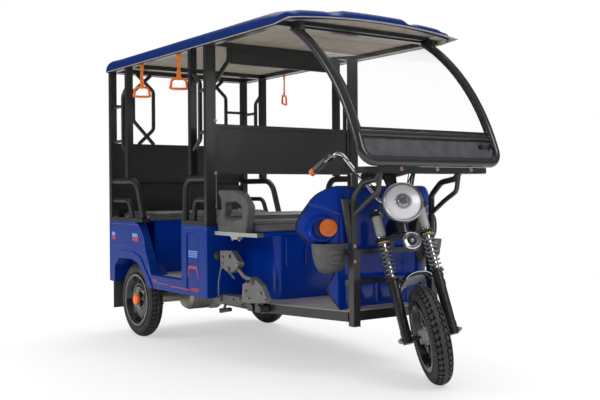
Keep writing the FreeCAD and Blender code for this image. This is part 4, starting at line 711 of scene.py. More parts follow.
for hand in (-1, 1):
    start, way = steer(0, hand * 137, 0), leftward * hand
    revolve(mesh, [(8.3, 0.5), (15, 0.5), (15, 3), (8.3, 3)], start, way, 24)
    revolve(mesh, [(8.2, 3), (11.5, 3), (11.5, 10), (9.8, 12), (8.2, 12)], start, way, 6)
    revolve(mesh, [(0, 12), (7.8, 12), (7.8, 14), (5.5, 17), (0, 18)], start, way, 16)
piece("axle_nuts", mesh, silver_steel, "steering")

# %% [markdown]
# ## Headlight
# The bowl is spun sheet, the rim that clips round it is polished, and the pale face is moulded with a
# bright ring and a small round shade in its middle. Spun profiles again: each part begins where the last
# one ends, so the light finds a narrow gap between them as on the real lamp.

# %% Headlight
lamp_at = steer(4, 0, 614)
mesh = bmesh.new()
bowl = [(0, 58), (30, 59.5), (54, 67), (72, 82), (85, 99), (92, 112), (96.2, 130), (96, 140)]
revolve(mesh, bowl, lamp_at, forward, 64)
for left in (-1, 1):
    outline = ((16, 586), (100, 590), (132, 600), (132, 626), (100, 640), (16, 640))
    plate(mesh, [steer(a, left * 88, b) for a, b in outline], leftward * left * 6, 1)
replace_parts(piece("lamp_bowl", mesh, silver_steel, "steering"), "headlight")
for name, finish, steps, profile in (
        ("lamp_rim", silver_steel, 72,
         [(96.2, 130), (98, 133), (98.5, 146), (96, 154), (91, 157), (86, 156), (84, 151), (85, 148)]),
        ("lamp_face", frosted_lens, 72,
         [(84.5, 150.5), (70, 156), (52, 159.5), (41, 160.6), (39.5, 159.2), (38, 160.8), (36, 161)]),
        ("lamp_inner_ring", silver_steel, 48,
         [(38, 161.4), (35, 164.6), (29, 164.6), (27, 163), (22, 166.4), (20.5, 169), (20.5, 173.4),
          (17, 175)]),
        ("lamp_centre", grey_moulding, 40,
         [(18, 172.4), (17, 174.4), (9, 176), (0, 176.5)])):
    turned(name, profile, lamp_at, forward, steps, finish, "steering")
mesh = bmesh.new()
for share in (0.25, 0.75):
    way = turn_way(leftward, lean, share)
    screw = [(0, 0), (3.4, 0), (3.4, 1.6), (2.4, 2.6), (0, 2.8)]
    revolve(mesh, screw, lamp_at + way * 98.5 + forward * 141, way, 14)
for left in (-1, 1):
    bolt(mesh, steer(40, left * 94, 614), leftward * left, 12)
piece("lamp_screws", mesh, silver_steel, "steering")

# %% [markdown]
# ## Front mudguard and instrument housing
# The mudguard is a strip rolled to the wheel's curve and pressed to an arched section, narrower at its
# ends, with its two edges beaded. Its skin is drawn ring by ring along the wheel. The instrument housing
# above the clamp is moulded in black and seen only in part, so a rounded block on a short neck is enough.

# %% Front mudguard and instrument housing
GUARD_RADIUS, GUARD_ARCH, GUARD_HALF = 266, 36, 72
mesh = bmesh.new()
rings = []
for i in range(25):
    t = math.radians(18 - 44 * i / 24)
    half = GUARD_HALF * (1 - 0.14 * abs(i / 12 - 1) ** 3)
    ring = []
    for high, outward in ((0, 1), (2, -1)):
        for j in range(17):
            across = outward * (j / 8 - 1)
            radius = GUARD_RADIUS + high + GUARD_ARCH * math.sqrt(1 - 0.92 * across ** 2)
            ring.append(steer(radius * math.sin(t), across * half, radius * math.cos(t)))
    rings.append(ring)
skin(mesh, rings)
for left in (-1, 1):
    stay = [steer(a, left * 66, b) for a, b in ((-24, 266), (0, 266), (0, 282), (-24, 282))]
    plate(mesh, stay, leftward * left * 21)
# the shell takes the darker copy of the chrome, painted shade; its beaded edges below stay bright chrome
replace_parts(piece("fender_shell", mesh, shaded_chrome_copy, "steering"), "front_fender")
mesh = bmesh.new()
for ring in (rings[0], rings[-1]):
    sweep(mesh, ring[:17], disc_section(2.4, 8))
piece("fender_edges", mesh, chrome_plate, "steering")
mesh = bmesh.new()
rings = []
for grow, high in ((0.2, -26), (0.72, -24), (0.9, -14), (1.0, 0), (1.0, 7), (0.96, 12), (0.86, 12), (0.8, 8),
                   (0.2, 7)):
    rings.append([Vector((905, 0, 1006)) + forward * 78 * grow * math.cos(t) + lean * high
                  + leftward * 152 * grow * math.copysign(abs(math.sin(t)) ** 0.75, math.sin(t))
                  for t in (math.tau * i / 48 for i in range(48))])
skin(mesh, rings)
revolve(mesh, [(0, 690), (26, 690), (24, 730), (34, 796), (0, 796)], steer(12, 0, 0), lean, 24)
piece("instrument_housing", mesh, black_moulding, "steering")

# %% [markdown]
# ## Horn
# A disc horn: a black diaphragm with a raised bead, held by a chromed ring and one nut in the middle. The
# solid of the engineering model stays behind it, and three spun profiles give the face that the light
# shows.

# %% Horn
horn_at = steer(0, 0, 430)
for name, finish, steps, profile in (
        ("horn_ring", chrome_plate, 48,
         [(43.2, 114), (44.6, 118), (44.6, 130), (42, 135), (37.5, 137.2), (35, 136), (34, 132)]),
        ("horn_dish", black_moulding, 40,
         [(36.5, 136.2), (28, 133.5), (22, 133.8), (20, 136), (17, 136.4), (15, 134.2), (9, 134.2)]),
        ("horn_nut", silver_steel, 24,
         [(9.5, 133.6), (9, 136.5), (6, 138.4), (0, 139)])):
    turned(name, profile, horn_at, forward, steps, finish, "steering")

# %% [markdown]
# ## Handlebar
# Ribbed rubber grips with an orange end, a switch housing beside each, and the control and switch cables
# that run down to the lamp. The bar and its levers stay those of the engineering model: only where the
# grips sit does the chrome give way to black rubber. The cables are curves, which keep a cable round with a
# few points to move.

# %% Grips, levers and cables
GRIP_INNER, GRIP_OUTER = Vector((-62, 272, 962)), Vector((-124, 356, 928))


def on_grip(hand):
    """Start, direction and length of a grip."""
    start, end = (steer(p.x, hand * p.y, p.z) for p in (GRIP_INNER, GRIP_OUTER))
    way = (end - start).normalized()
    return start, way, (end - start).length


grip_lines = [on_grip(hand)[:2] for hand in (-1, 1)]
two_tone("handlebar", black_rubber, lambda p: any((p - start).dot(way) > -2 for start, way in grip_lines))
mesh, ends, housings = bmesh.new(), bmesh.new(), bmesh.new()
for hand in (-1, 1):
    start, way, length = on_grip(hand)
    profile = [(17.1, 0.4), (19.6, 1.2), (19.6, 4.5)]
    for i in range(11):
        along = 6 + i * 6.6
        profile += [(17.4, along), (18.3, along + 1.2), (18.3, along + 4.0), (17.4, along + 5.2)]
    profile += [(17.4, length - 24), (17.1, length - 24)]
    revolve(mesh, profile, start, way, 28)
    revolve(ends, [(17.1, length - 23.5), (18.8, length - 22), (18.8, length - 6), (17, length + 0.5),
                   (10, length + 2.4), (0, length + 3)], start, way, 28)
    revolve(housings, [(20.2, -36), (22.6, -34.5), (22.6, -21), (21.4, -20.4), (21.4, -19.4), (22.6, -18.8),
                       (22.6, -5.6), (20.2, -4)], start, way, 28)
    for along, size in ((-30, 9), (-14, 7)):
        at = start + way * along + lean * 19
        revolve(housings, [(0, 0), (size * 0.6, 0), (size * 0.6, 5), (size * 0.4, 7), (0, 7.4)], at, lean, 16)
piece("grips", mesh, grip_rubber, "steering")
piece("grip_ends", ends, orange_moulding, "steering")
piece("switch_housings", housings, black_moulding, "steering")


def cable(name, points, radius, finish, body):
    """A control cable held at both ends, as a smooth curve."""
    data = bpy.data.curves.new(name, "CURVE")
    data.dimensions, data.bevel_depth, data.bevel_resolution, data.resolution_u = "3D", radius * MM, 3, 10
    line = data.splines.new("NURBS")
    line.points.add(len(points) - 1)
    for spot, p in zip(line.points, points):
        spot.co = (*(Vector(p) * MM), 1.0)
    line.order_u, line.use_endpoint_u = 3, True
    data.materials.append(finish)
    obj = bpy.data.objects.new(name, data)
    bpy.context.scene.collection.objects.link(obj)
    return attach(obj, body)


for name, hand in (("right", -1), ("left", 1)):
    inner, way, _ = on_grip(hand)
    lever = inner - way * 20 + forward * 40 - lean * 4
    route = [lever, lever + forward * 26 + leftward * hand * -26 - lean * 4, steer(30, hand * 150, 880),
             steer(58, hand * 76, 760), steer(46, hand * 60, 690), steer(40, hand * 58, 640)]
    cable(name + "_control_cable", route, 2.6, black_rubber, "steering")
    route = [inner - way * 28 - lean * 20, steer(-18, hand * 214, 905), steer(4, hand * 150, 830),
             steer(26, hand * 60, 720), steer(34, hand * 36, 640)]
    cable(name + "_switch_cable", route, 3.2, black_rubber, "steering")

# %% [markdown]
# ## Windscreen trim
# A rubber channel holds the clear sheet along the side tubes. The panel under it is a board covered in dark
# grained sheet, with a welt along each long edge. Extruded profiles could be bought by the metre, so they
# are drawn that way: one section swept along the arc of the frame, whose circle goes through three points
# of the side tube.

# %% The curve of the screen
SCREEN_ARC = [(668, 1704), (1000, 1428), (1187, 1100)]
screen_half, screen_tube = 425, 22


def circle_through(a, b, c):
    """Centre and radius of the circle through three points of a plane."""
    d = 2 * (a[0] * (b[1] - c[1]) + b[0] * (c[1] - a[1]) + c[0] * (a[1] - b[1]))
    squares = [p[0] ** 2 + p[1] ** 2 for p in (a, b, c)]
    x = (squares[0] * (b[1] - c[1]) + squares[1] * (c[1] - a[1]) + squares[2] * (a[1] - b[1])) / d
    z = (squares[0] * (c[0] - b[0]) + squares[1] * (a[0] - c[0]) + squares[2] * (b[0] - a[0])) / d
    return x, z, math.dist((x, z), a)


arc_x, arc_z, arc_r = circle_through(*SCREEN_ARC)


def screen_at(z, y, out=0.0):
    """A point on the windscreen's curve at a height, moved outwards along the curve's radius."""
    x = arc_x + math.sqrt(arc_r ** 2 - (z - arc_z) ** 2)
    away = Vector((x - arc_x, 0, z - arc_z)).normalized()
    return Vector((x, y, z)) + away * out


print(f"the screen's arc has a radius of {arc_r:.0f} mm")

# %% [markdown]
# The channel is an extruded profile that grips the edge of the sheet. Bent round the frame as one loop it
# would twist at the corners, so one length runs up each side of the arc and one lies along the sill.

# %% Rubber channel
mesh = bmesh.new()
for hand in (-1, 1):
    heights = [1182 + (1650 - 1182) * i / 30 for i in range(31)]
    line = [screen_at(z, hand * (screen_half - screen_tube - 1)) for z in heights]
    sweep(mesh, line, [(-5, -7), (5, -7), (5, 7), (-5, 7)], start_side=(0, 1, 0))
    heights = [1150 + (1690 - 1150) * i / 34 for i in range(35)]
    inner = [screen_at(z, hand * (screen_half + 2), screen_tube - 1.5) for z in heights]
    sweep(mesh, inner, [(-6, -1.5), (6, -1.5), (5, 3.2), (-5, 3.2)], start_side=(0, 1, 0))
line = [screen_at(1181, -screen_half + 30 + (2 * screen_half - 60) * i / 12, 0) for i in range(13)]
sweep(mesh, line, [(-6, -5), (6, -5), (6, 5), (-6, 5)], start_side=(1, 0, 0.4))
piece("screen_seal", mesh, black_rubber)

# %% [markdown]
# The panel is a sheet pulled over a board, a little bulged between its welts. A net of points gives the
# bulge. Blade and arm of the wiper are sections swept up the glass.

# %% Panel under the screen, and wiper
low_z, sill_z = 1035, 1158
sill_x = screen_at(sill_z, 0).x
slope = (arc_z - SCREEN_ARC[2][1]) / (SCREEN_ARC[2][0] - arc_x)
foot_x = SCREEN_ARC[2][0] + abs(slope) * (SCREEN_ARC[2][1] - low_z)
mesh = bmesh.new()
rows = []
for i in range(9):
    share = i / 8
    z = sill_z - 19 - (sill_z - low_z - 40) * share
    bulge = 5.6 + 2.2 * math.sin(math.pi * share)
    x = sill_x + (foot_x - sill_x) * (sill_z - z) / (sill_z - low_z) + bulge
    half = screen_half - 20 - 22 * max(0.0, share - 0.45)
    rows.append([Vector((x - 1.5 * (abs(j - 12) == 12), half * (j / 12 - 1), z)) for j in range(25)])
skin(mesh, rows, around=False)
piece("screen_panel_cover", mesh, panel_cloth)
mesh = bmesh.new()
for z in (sill_z - 20, low_z + 22):
    x = sill_x + (foot_x - sill_x) * (sill_z - z) / (sill_z - low_z) + 7
    half = screen_half - 26 - (12 if z < 1100 else 0)
    sweep(mesh, [Vector((x, half * (i / 10 - 1), z)) for i in range(21)], disc_section(1.7, 6))
piece("screen_panel_welts", mesh, black_rubber)
mesh = bmesh.new()
blade = [screen_at(z, screen_half - 42, 26) for z in (1196, 1260, 1330, 1400)]
sweep(mesh, curve_through(blade), [(-4, -2), (4, -2), (2, 3), (-2, 3)], start_side=(0, 1, 0))
arm = [p + Vector((-7, 0, -5)) for p in blade]
sweep(mesh, curve_through(arm), [(-1.5, -5), (1.5, -5), (1.5, 5), (-1.5, 5)], start_side=(0, 1, 0))
piece("wiper_blade", mesh, black_rubber)

# %% [markdown]
# ## Bolts
# Yellow zinc bolts hold the guard, the ring and the partition and stand out against the black paint; plain
# zinc ones and two latch rods sit at the posts. Each is three spun profiles, which is enough at this
# distance, and one small function places them all.

# %% Bolts on the frame
mesh = bmesh.new()
for hand in (-1, 1):
    for z in (645, 573):
        bolt(mesh, (945, hand * 262, z), (1, 0, 0), 10)
    bolt(mesh, (913, hand * 270, 338), (0, hand, 0), 10)
for y in (-214, 6, 226):
    bolt(mesh, (1220, y, 1002), (1, 0, 0), 12)
for y in (-214, 226):
    bolt(mesh, (1040, y, 999), (-1, 0, 0), 14)
for z in (1006, 1291):
    for hand in (-1, 1):
        bolt(mesh, (0, hand * 468, z), (1, 0, 0), 11)
piece("yellow_bolts", mesh, copper_bolt)

mesh = bmesh.new()
for hand in (-1, 1):
    rod = [Vector((5, hand * 468, 1000)), Vector((5, hand * 468, 900)), Vector((5, hand * 468, 832))]
    sweep(mesh, rod, disc_section(2.2, 8))
    revolve(mesh, [(0, 0), (5, 0), (5, 16), (3, 20), (0, 20)], (5, hand * 468, 814), (0, 0, 1), 14)
    for x in (-1270, -1290, -1076, -836, -190, -60, -270):
        bolt(mesh, (x, hand * 500, 745), (0, 0, 1), 11)
piece("silver_fasteners", mesh, silver_steel)

# %% [markdown]
# ## Leg shield trim
# The leg shield is edged with a black rubber profile, its lamps have ribbed lenses, and its pockets carry a
# raised oval with a catch. All of it follows the shield's curve in plan, which one function gives: a smooth
# curve through five measured points, so that trim can be drawn flat and laid on.

# %% The shield's curve and its edging
COWL_EDGE = [(0, 925), (300, 925), (372, 882), (418, 794), (440, 729), (413, 678), (345, 612), (325, 570),
             (288, 511), (322, 440), (305, 394), (262, 337)]
COWL_ROUND = [0, 60, 60, 40, 60, 30, 40, 30, 40, 30, 40, 0]


def cowl_depth(y):
    """The leg shield's plan curve: how far forward it stands at a distance from the middle."""
    rows = [(0, 790), (130, 795), (245, 838), (370, 775), (460, 690)]
    y = abs(y)
    knots = [(-130, 795)] + rows
    for (ya, xa), (yb, xb), (yc, xc), (yd, xd) in zip(knots, knots[1:], knots[2:], knots[3:] + [(550, 640)]):
        if yb <= y <= yc:
            t = (y - yb) / (yc - yb)
            ma, mb = (xc - xa) / (yc - ya) * (yc - yb), (xd - xb) / (yd - yb) * (yc - yb)
            return ((2 * t ** 3 - 3 * t ** 2 + 1) * xb + (t ** 3 - 2 * t ** 2 + t) * ma
                    + (3 * t ** 2 - 2 * t ** 3) * xc + (t ** 3 - t ** 2) * mb)
    return rows[-1][1]


def rounded_line(points, radii, steps=5):
    """An open outline in Y and Z with its corners rounded."""
    line = [Vector(points[0])]
    for before, corner, after, radius in zip(points, points[1:], points[2:], radii[1:]):
        a, b, c = Vector(before), Vector(corner), Vector(after)
        cut = min(radius * 0.55, (a - b).length * 0.45, (c - b).length * 0.45)
        start, end = b + (a - b).normalized() * cut, b + (c - b).normalized() * cut
        for i in range(steps + 1):
            t = i / steps
            line.append(start * (1 - t) ** 2 + b * 2 * t * (1 - t) + end * t ** 2)
    line.append(Vector(points[-1]))
    return line


mesh = bmesh.new()
half = rounded_line(COWL_EDGE, COWL_ROUND)
fine = []
for a, b in zip(half, half[1:]):
    pieces = max(1, round((b - a).length / 14))
    fine += [a.lerp(b, i / pieces) for i in range(pieces)]
fine.append(half[-1])
edge = [(-p.x, p.y) for p in reversed(fine)] + [(p.x, p.y) for p in fine[1:]]
line = [Vector((cowl_depth(y) - 2, y, z)) for y, z in edge]
sweep(mesh, line, [(-3.4, -4.4), (3.4, -4.4), (4.6, -1.5), (4.6, 1.5), (3.4, 4.4), (-3.4, 4.4), (-4.6, 1.5),
                   (-4.6, -1.5)], start_side=(1, 0, 0))
piece("leg_shield_edging", mesh, black_rubber)

# %% [markdown]
# Each indicator is a cup with a rubber ring and a stepped lens that throws the light sideways. The steps
# could be relief, but they show in the outline, so they are turned as a profile. Three screw heads are set
# on top.

# %% Lamps in the leg shield
signal_radius = 43
mesh, rims = bmesh.new(), bmesh.new()
for hand in (-1, 1):
    axis = Vector((0.86, hand * 0.5, 0.03)).normalized()
    centre = Vector((804, hand * 317, 729))
    revolve(rims, [(signal_radius + 3, 18), (signal_radius + 2.4, 31), (signal_radius + 1, 33),
                   (signal_radius - 1, 33)], centre, axis, 56)
    dome = [(signal_radius, 30), (signal_radius - 0.5, 40)]
    for ring in range(7):
        edge = signal_radius - 1 - ring * 5.6
        high = 48.5 - (edge / signal_radius) ** 2 * 6
        dome += [(edge, high), (edge - 2.8, high + 1.6)]
    revolve(mesh, dome + [(0, 50)], centre, axis, 56)
    side = axis.orthogonal().normalized()
    for i in range(3):
        way = turn_way(side, axis.cross(side), i / 3 + 0.4 / math.tau)
        revolve(mesh, [(0, 0), (3, 0), (3, 1.6), (0, 2.4)], centre + way * 35 + axis * 45.4, axis, 12)
signals = piece("signal_lenses", mesh, orange_lens)
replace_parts(signals, "turn_signals")
piece("signal_rims", rims, black_rubber)

# %% [markdown]
# The pockets are thin moulded bins, square at the back, rounded in front and narrower below. Six numbers
# per height give a ring, and the skin runs from ring to ring. The raised oval is laid on the front, and on it
# the catch, a near-black line of painted shade where its slot lies.

# %% Pockets with their catches
mesh, catch_slot_shade = bmesh.new(), bmesh.new()
# Rings of the pocket from the top down: height, back, front, inner and outer side, corner radius.
POCKET = ((654, 778, 868, 226, 392, 30), (648, 776, 868, 225, 393, 30), (612, 776, 866, 226, 389, 32),
          (572, 776, 861, 227, 380, 38), (540, 776, 852, 228, 366, 42), (520, 778, 840, 230, 350, 44),
          (508, 782, 822, 234, 330, 36))


def pocket_ring(z, x0, x1, y0, y1, corner, hand, steps=6):
    """The pocket's outline at one height: square at the back, rounded in front."""
    spots = [(x0, y0), (x1 - corner, y0)]
    for cx, cy, first in ((x1 - corner, y0 + corner, -1), (x1 - corner, y1 - corner, 0)):
        for i in range(steps + 1):
            t = math.pi / 2 * (first + i / steps)
            spots.append((cx + corner * math.cos(t), cy + corner * math.sin(t)))
    return [Vector((x, hand * y, z)) for x, y in spots + [(x0, y1)]]


for hand in (-1, 1):
    rows = [pocket_ring(*row, hand) for row in POCKET]
    z, x0, x1, y0, y1, corner = POCKET[0]
    rows.insert(0, pocket_ring(z, x0, x1 - 6, y0 + 6, y1 - 6, corner - 5, hand))
    rows.insert(0, pocket_ring(z - 40, x0, x1 - 7, y0 + 7, y1 - 7, corner - 5, hand))
    skin(mesh, rows)
    at, out = Vector((864, hand * 306, 588)), Vector((1, hand * 0.02, -0.12)).normalized()
    oval = disc_section(1.0, 44)
    rings = [[at + Vector((0, a * wide, b * tall)) + out * high for a, b in oval]
             for wide, tall, high in ((62, 35, -9), (61, 34, 1), (57, 31, 4), (48, 26, 5.4), (30, 16, 6))]
    skin(mesh, rings)
    hook = ((24, -14), (-30, -16), (-30, 14), (26, 16), (26, 8))
    line = [at + Vector((0, hand * a, b)) + out * 6.2 for a, b in hook]
    sweep(catch_slot_shade, line, [(-2, -1), (2, -1), (2, 1), (-2, 1)], start_side=(1, 0, 0))
pockets = piece("leg_shield_pockets", mesh, grey_moulding)
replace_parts(pockets, "cowl_pockets")
# the catch is drawn near black, as painted shade of its slot
piece("pocket_catch_shade", catch_slot_shade, deep_shadow)

# %% [markdown]
# ## Leg shield relief
# The mould gives the shield a crease under its upper edge, a ridge down each side of the middle and raised
# panels below, with a grey wedge let in beside the fork. Cutting them into the shell would need a new
# solid. Laid on as thin forms in the same gel coat, they catch the light at the same places.

# %% Leg shield relief
mesh, wedges, hollow_shades = bmesh.new(), bmesh.new(), bmesh.new()
for hand in (-1, 1):
    crease = ((392, 851), (360, 839), (320, 822), (280, 804), (244, 790))
    sweep(mesh, curve_through([Vector((cowl_depth(y) + 1, hand * y, z)) for y, z in crease], 5),
          [(-3, -16), (4.5, -5), (5.5, 0), (3, 8), (-3, 14)], start_side=(1, 0, 0))
    ridge = ((180, 900), (192, 850), (206, 780), (214, 700), (218, 664))
    sweep(mesh, curve_through([Vector((cowl_depth(y) + 1, hand * y, z)) for y, z in ridge], 5),
          [(-3, -12), (5, -3), (5, 3), (-3, 12)], start_side=(1, 0, 0))
    for outline in (((170, 470), (300, 470), (318, 440), (296, 392), (256, 352), (170, 352)),
                    ((8, 470), (150, 470), (150, 352), (8, 352))):
        low = [Vector((cowl_depth(y) - 1, hand * y, z)) for y, z in outline]
        plate(mesh, low, (7, 0, 0), 5)
    face = [(266, 866), (190, 862), (190, 846), (232, 846), (200, 652), (226, 652)]
    plate(wedges, [Vector((cowl_depth(y) + 8, hand * y, z)) for y, z in face], (16, 0, 0), 1.5)
    # inside each wedge a near-black plate stands where its hollow lies: painted shade
    hollow = [(231, 845), (190, 845), (190, 652), (200, 652)]
    plate(hollow_shades, [Vector((cowl_depth(y) + 8, hand * y, z)) for y, z in hollow], (4, 0, 0))
piece("leg_shield_relief", mesh, blue_gelcoat, crease=50)
piece("leg_shield_wedges", wedges, grey_moulding)
piece("leg_shield_hollow_shade", hollow_shades, deep_shadow)

# %% [markdown]
# ## Pressed lines and stripes
# Pressed beads stiffen the blue sheets of the sides, and coloured films are stuck on them. The beads are
# swept strips on the sheet rather than dents in it, which keeps the sheet's own faces flat. The films are
# cut outlines half a millimetre proud, with edges that stay sharp at any size, as those of a picture would
# not.

# %% Pressed lines on the sides
half_width = 525


def swage(mesh, outline, hand, radius=2.6, closed=False):
    """A raised pressed line on a side panel, its points in X and Z."""
    line = [Vector((x, hand * (half_width - 0.2), z)) for x, z in outline]
    sweep(mesh, curve_through(line, 5, closed), [(0, -radius), (radius * 0.7, 0), (0, radius), (-1.5, 0)],
          closed=closed, start_side=(0, hand, 0))


mesh = bmesh.new()
for hand in (-1, 1):
    swage(mesh, [(-1296, 344), (-1296, 500), (-1296, 700), (-1280, 706), (-1060, 706), (-900, 704),
                 (-848, 690), (-790, 610), (-757, 520), (-735, 460), (-712, 424), (-690, 394)], hand)
    swage(mesh, [(-284, 392), (-284, 540), (-284, 704), (-262, 707), (-150, 707), (-16, 707), (-14, 560),
                 (-14, 420), (-14, 344), (-60, 340), (-300, 340), (-520, 340), (-640, 340)], hand)
    swage(mesh, [(-232, 668), (-166, 669), (-100, 668), (-99, 560), (-99, 360), (-166, 359), (-233, 360),
                 (-234, 520)], hand, 1.6, True)
    swage(mesh, [(-1262, 560), (-1100, 566), (-940, 560), (-880, 548)], hand, 2.0)
# the beads take the lighter copy of the blue paint, so they show lighter than the side sheets: a painted
# highlight along each bead
piece("pressed_lines", mesh, blue_enamel)

# %% [markdown]
# The films are stuck flat on the sheet. Those of the left side mirror those of the right, so one outline
# serves both.

# %% Stripes on the sides


def stripe(mesh, corners, hand, sunk=0.0):
    """A film cut to an outline in X and Z, half a millimetre proud of the panel."""
    y = hand * (half_width + 0.15 - sunk)
    plate(mesh, [(x, y, z) for x, z in corners], (0, hand * 0.35, 0))


red, pale = bmesh.new(), bmesh.new()
for hand in (-1, 1):
    for x0, x1, lean_x in ((-1271, -1216, 6), (-955, -872, 8)):
        stripe(pale, [(x0, 628), (x1, 625), (x1 - lean_x, 648), (x0, 650)], hand)
        stripe(red, [(x0 + 4, 604), (x1 + 2, 598), (x1, 621), (x0, 624)], hand)
    for i in range(4):
        z = 578 - i * 10
        stripe(pale, [(-222, z - 6), (-118 - i * 2, z - 6), (-114 - i * 2, z), (-222, z)], hand, 5)
    top, foot = 492, 425
    stripe(red, [(-226, 478), (-122, 478), (-124, top), (-224, top)], hand, 5)
    stripe(red, [(-238, foot), (-232, foot), (-217, 477.5), (-226, 477.5)], hand, 5)
    stripe(red, [(-110, foot), (-104, foot), (-122, 477.5), (-131, 477.5)], hand, 5)
    for x in (-668, -654, -640, -626):
        stripe(red, [(x, 384), (x + 7, 384), (x + 16, 364), (x + 9, 364)], hand)
    stripe(red, [(-612, 366), (-470, 366), (-466, 362), (-608, 362)], hand)
    stripe(red, [(-440, 361), (-196, 361), (-190, 356), (-436, 356)], hand)
    for x in (-190, -172, -154, -136, -118):
        stripe(red, [(x, 352), (x + 10, 352), (x + 26, 374), (x + 16, 374)], hand)
piece("red_stripes", red, red_film)
piece("pale_stripes", pale, pale_film)

# %% [markdown]
# ## Roof
# The roof is one glass fibre moulding with a rolled edge all round. Its top carries raised bands that run
# the whole length and end at the dropped nose. The height over every point follows from its distance to the
# edge, so the moulding is worked out on a net of points that lies closer together where the edge rolls
# over. A subdivided cage could be pushed about by hand instead, but its bands would not run straight and
# its edge would not stay even.

# %% The roof's shape
(roof_rear, _, roof_rim), (roof_front, roof_half, _) = (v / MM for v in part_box("roof_shell"))
ROLL, SHOULDER, REAR_CORNER = 88.0, 72.0, 90.0
ARCH_START = 692  # where the lining board begins to arch up
NET_WIDE, NET_LONG = 40, 46  # rows of the net: on each side of the middle, and between the ends


def smooth_step(value, low, high):
    """Rises from 0 to 1 between two values, or falls if the first is the higher."""
    t = min(max((value - low) / (high - low), 0.0), 1.0)
    return t * t * (3 - 2 * t)


def corner_cut(across, radius):
    """How far an end of the roof falls back beside its rounded corner."""
    beyond = max(0.0, across - (roof_half - radius))
    return radius - math.sqrt(max(radius ** 2 - beyond ** 2, 0.0))


def roof_ends(y):
    """The rear and front edge at a distance from the middle."""
    y = abs(y)
    taper = 52 * smooth_step(y, 510, roof_half) + 14 * (y / 520) ** 4
    return roof_rear + corner_cut(y, REAR_CORNER), roof_front - taper


def edge_distance(x, y):
    """How far inside the roof's outline a point lies."""
    rear, front = roof_ends(y)
    near = min(roof_half - abs(y), front - x)
    if x < roof_rear + REAR_CORNER and abs(y) > roof_half - REAR_CORNER:
        from_centre = math.hypot(roof_rear + REAR_CORNER - x, abs(y) - roof_half + REAR_CORNER)
        return max(0.0, min(near, REAR_CORNER - from_centre))
    return max(0.0, min(near, x - rear))


def rim_height(x, y):
    """The lower edge follows the lining board, which arches up towards the front."""
    share = max(0.0, (x - ARCH_START) / 130)
    arch = 12 + 34 * (1 - min(1.0, abs(y) / 500) ** 2)
    return roof_rim + share * arch


def roof_height(x, y):
    """The top of the moulding: crown, raised bands and nose, rolled down to the rim along the edge."""
    low = rim_height(x, y)
    away = abs(y)
    crown = 24 * (1 - (away / roof_half) ** 2)
    bands = 9 * smooth_step(away, 478, 440) * smooth_step(away, 268, 300) + 20 * smooth_step(away, 228, 186)
    nose = 24 * smooth_step(x, 520, 800) ** 1.2
    tail = 2 * smooth_step(x, roof_rear + 260, roof_rear + 80)
    level = max(roof_rim + SHOULDER + crown + bands - nose - tail, low + 15)
    reach = ROLL * (1 - 0.45 * smooth_step(x, 640, 790)) * (1 - 0.35 * smooth_step(x, -1150, -1300))
    rolled = 1 - min(edge_distance(x, y) / reach, 1.0)
    return low + 6 + (level - low - 6) * math.sqrt(1 - rolled ** 2)


print(f"the roof runs from {roof_rear:.0f} to {roof_front:.0f} mm and is {2 * roof_half:.0f} mm wide")

# %% [markdown]
# The net is a grid whose rows are pulled towards the edges, where the moulding bends most, and each point
# gets its height from the shape above. The open rim is extruded down to the lining board and once more
# inwards, so that the moulding has a thickness to see.

# %% Roof moulding
shares = [0.0, 0.0015, 0.004, 0.008, 0.014, 0.022, 0.032, 0.045]
shares += ([0.045 + 0.91 * i / NET_LONG for i in range(1, NET_LONG)] + [1 - s for s in reversed(shares)])
widths = [i / NET_WIDE - 1 for i in range(2 * NET_WIDE + 1)]
widths = [math.sin(math.pi / 2 * w) * 0.25 + w * 0.75 for w in widths]
mesh = bmesh.new()
bmesh.ops.create_grid(mesh, x_segments=len(shares) - 1, y_segments=len(widths) - 1, size=1)
for v in mesh.verts:
    share = shares[round((v.co.x + 1) / 2 * (len(shares) - 1))]
    y = widths[round((v.co.y + 1) / 2 * (len(widths) - 1))] * roof_half
    rear, front = roof_ends(y)
    x = rear + (front - rear) * share
    v.co = Vector((x, y, roof_height(x, y))) * MM
for shrink, back in ((1.0, 0.0), (0.992, 2.0)):
    rim = [edge for edge in mesh.edges if edge.is_boundary]
    grown = bmesh.ops.extrude_edge_only(mesh, edges=rim)["geom"]
    for v in grown:
        if isinstance(v, bmesh.types.BMVert):
            x, y = v.co.x / MM, v.co.y / MM
            v.co = Vector((x * shrink - back, y * shrink, rim_height(x, y))) * MM
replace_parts(piece("roof_moulding", mesh, roof_gelcoat, crease=50), "roof_shell")

# %% [markdown]
# ## Cushions
# Foam covered in leathercloth swells between its seams. A rounded box would look like wood, so each pad
# starts a little smaller than its place, is remeshed, and is blown up by a short cloth run without gravity,
# held inside the space its engineering block takes. The bottom stays flat on its board, and a piped seam
# runs round below the top edge.

# %% A pad and how it swells
PAD_VOXEL, PAD_PRESSURE, PAD_FRAMES, MOST_MOVE = 9, 4.0, 20, 16
# Each ring of a pad: how far inside the block, and how far above its bottom or below its top.
PAD_RINGS = ((10, 0), (5, 5), (4, 16), (4, -22), (8, -13), (18, -8))


def rounded_loop(x0, x1, y0, y1, z, radius, steps=7):
    """A closed rectangle with round corners at one height."""
    points = []
    for cx, cy, start in ((x1 - radius, y1 - radius, 0), (x0 + radius, y1 - radius, 1),
                          (x0 + radius, y0 + radius, 2), (x1 - radius, y0 + radius, 3)):
        for i in range(steps + 1):
            t = math.pi / 2 * (start + i / steps)
            points.append(Vector((cx + radius * math.cos(t), cy + radius * math.sin(t), z)))
    return points


def evaluated(obj):
    """The mesh of an object as its modifiers leave it."""
    return bpy.data.meshes.new_from_object(obj.evaluated_get(bpy.context.evaluated_depsgraph_get()))


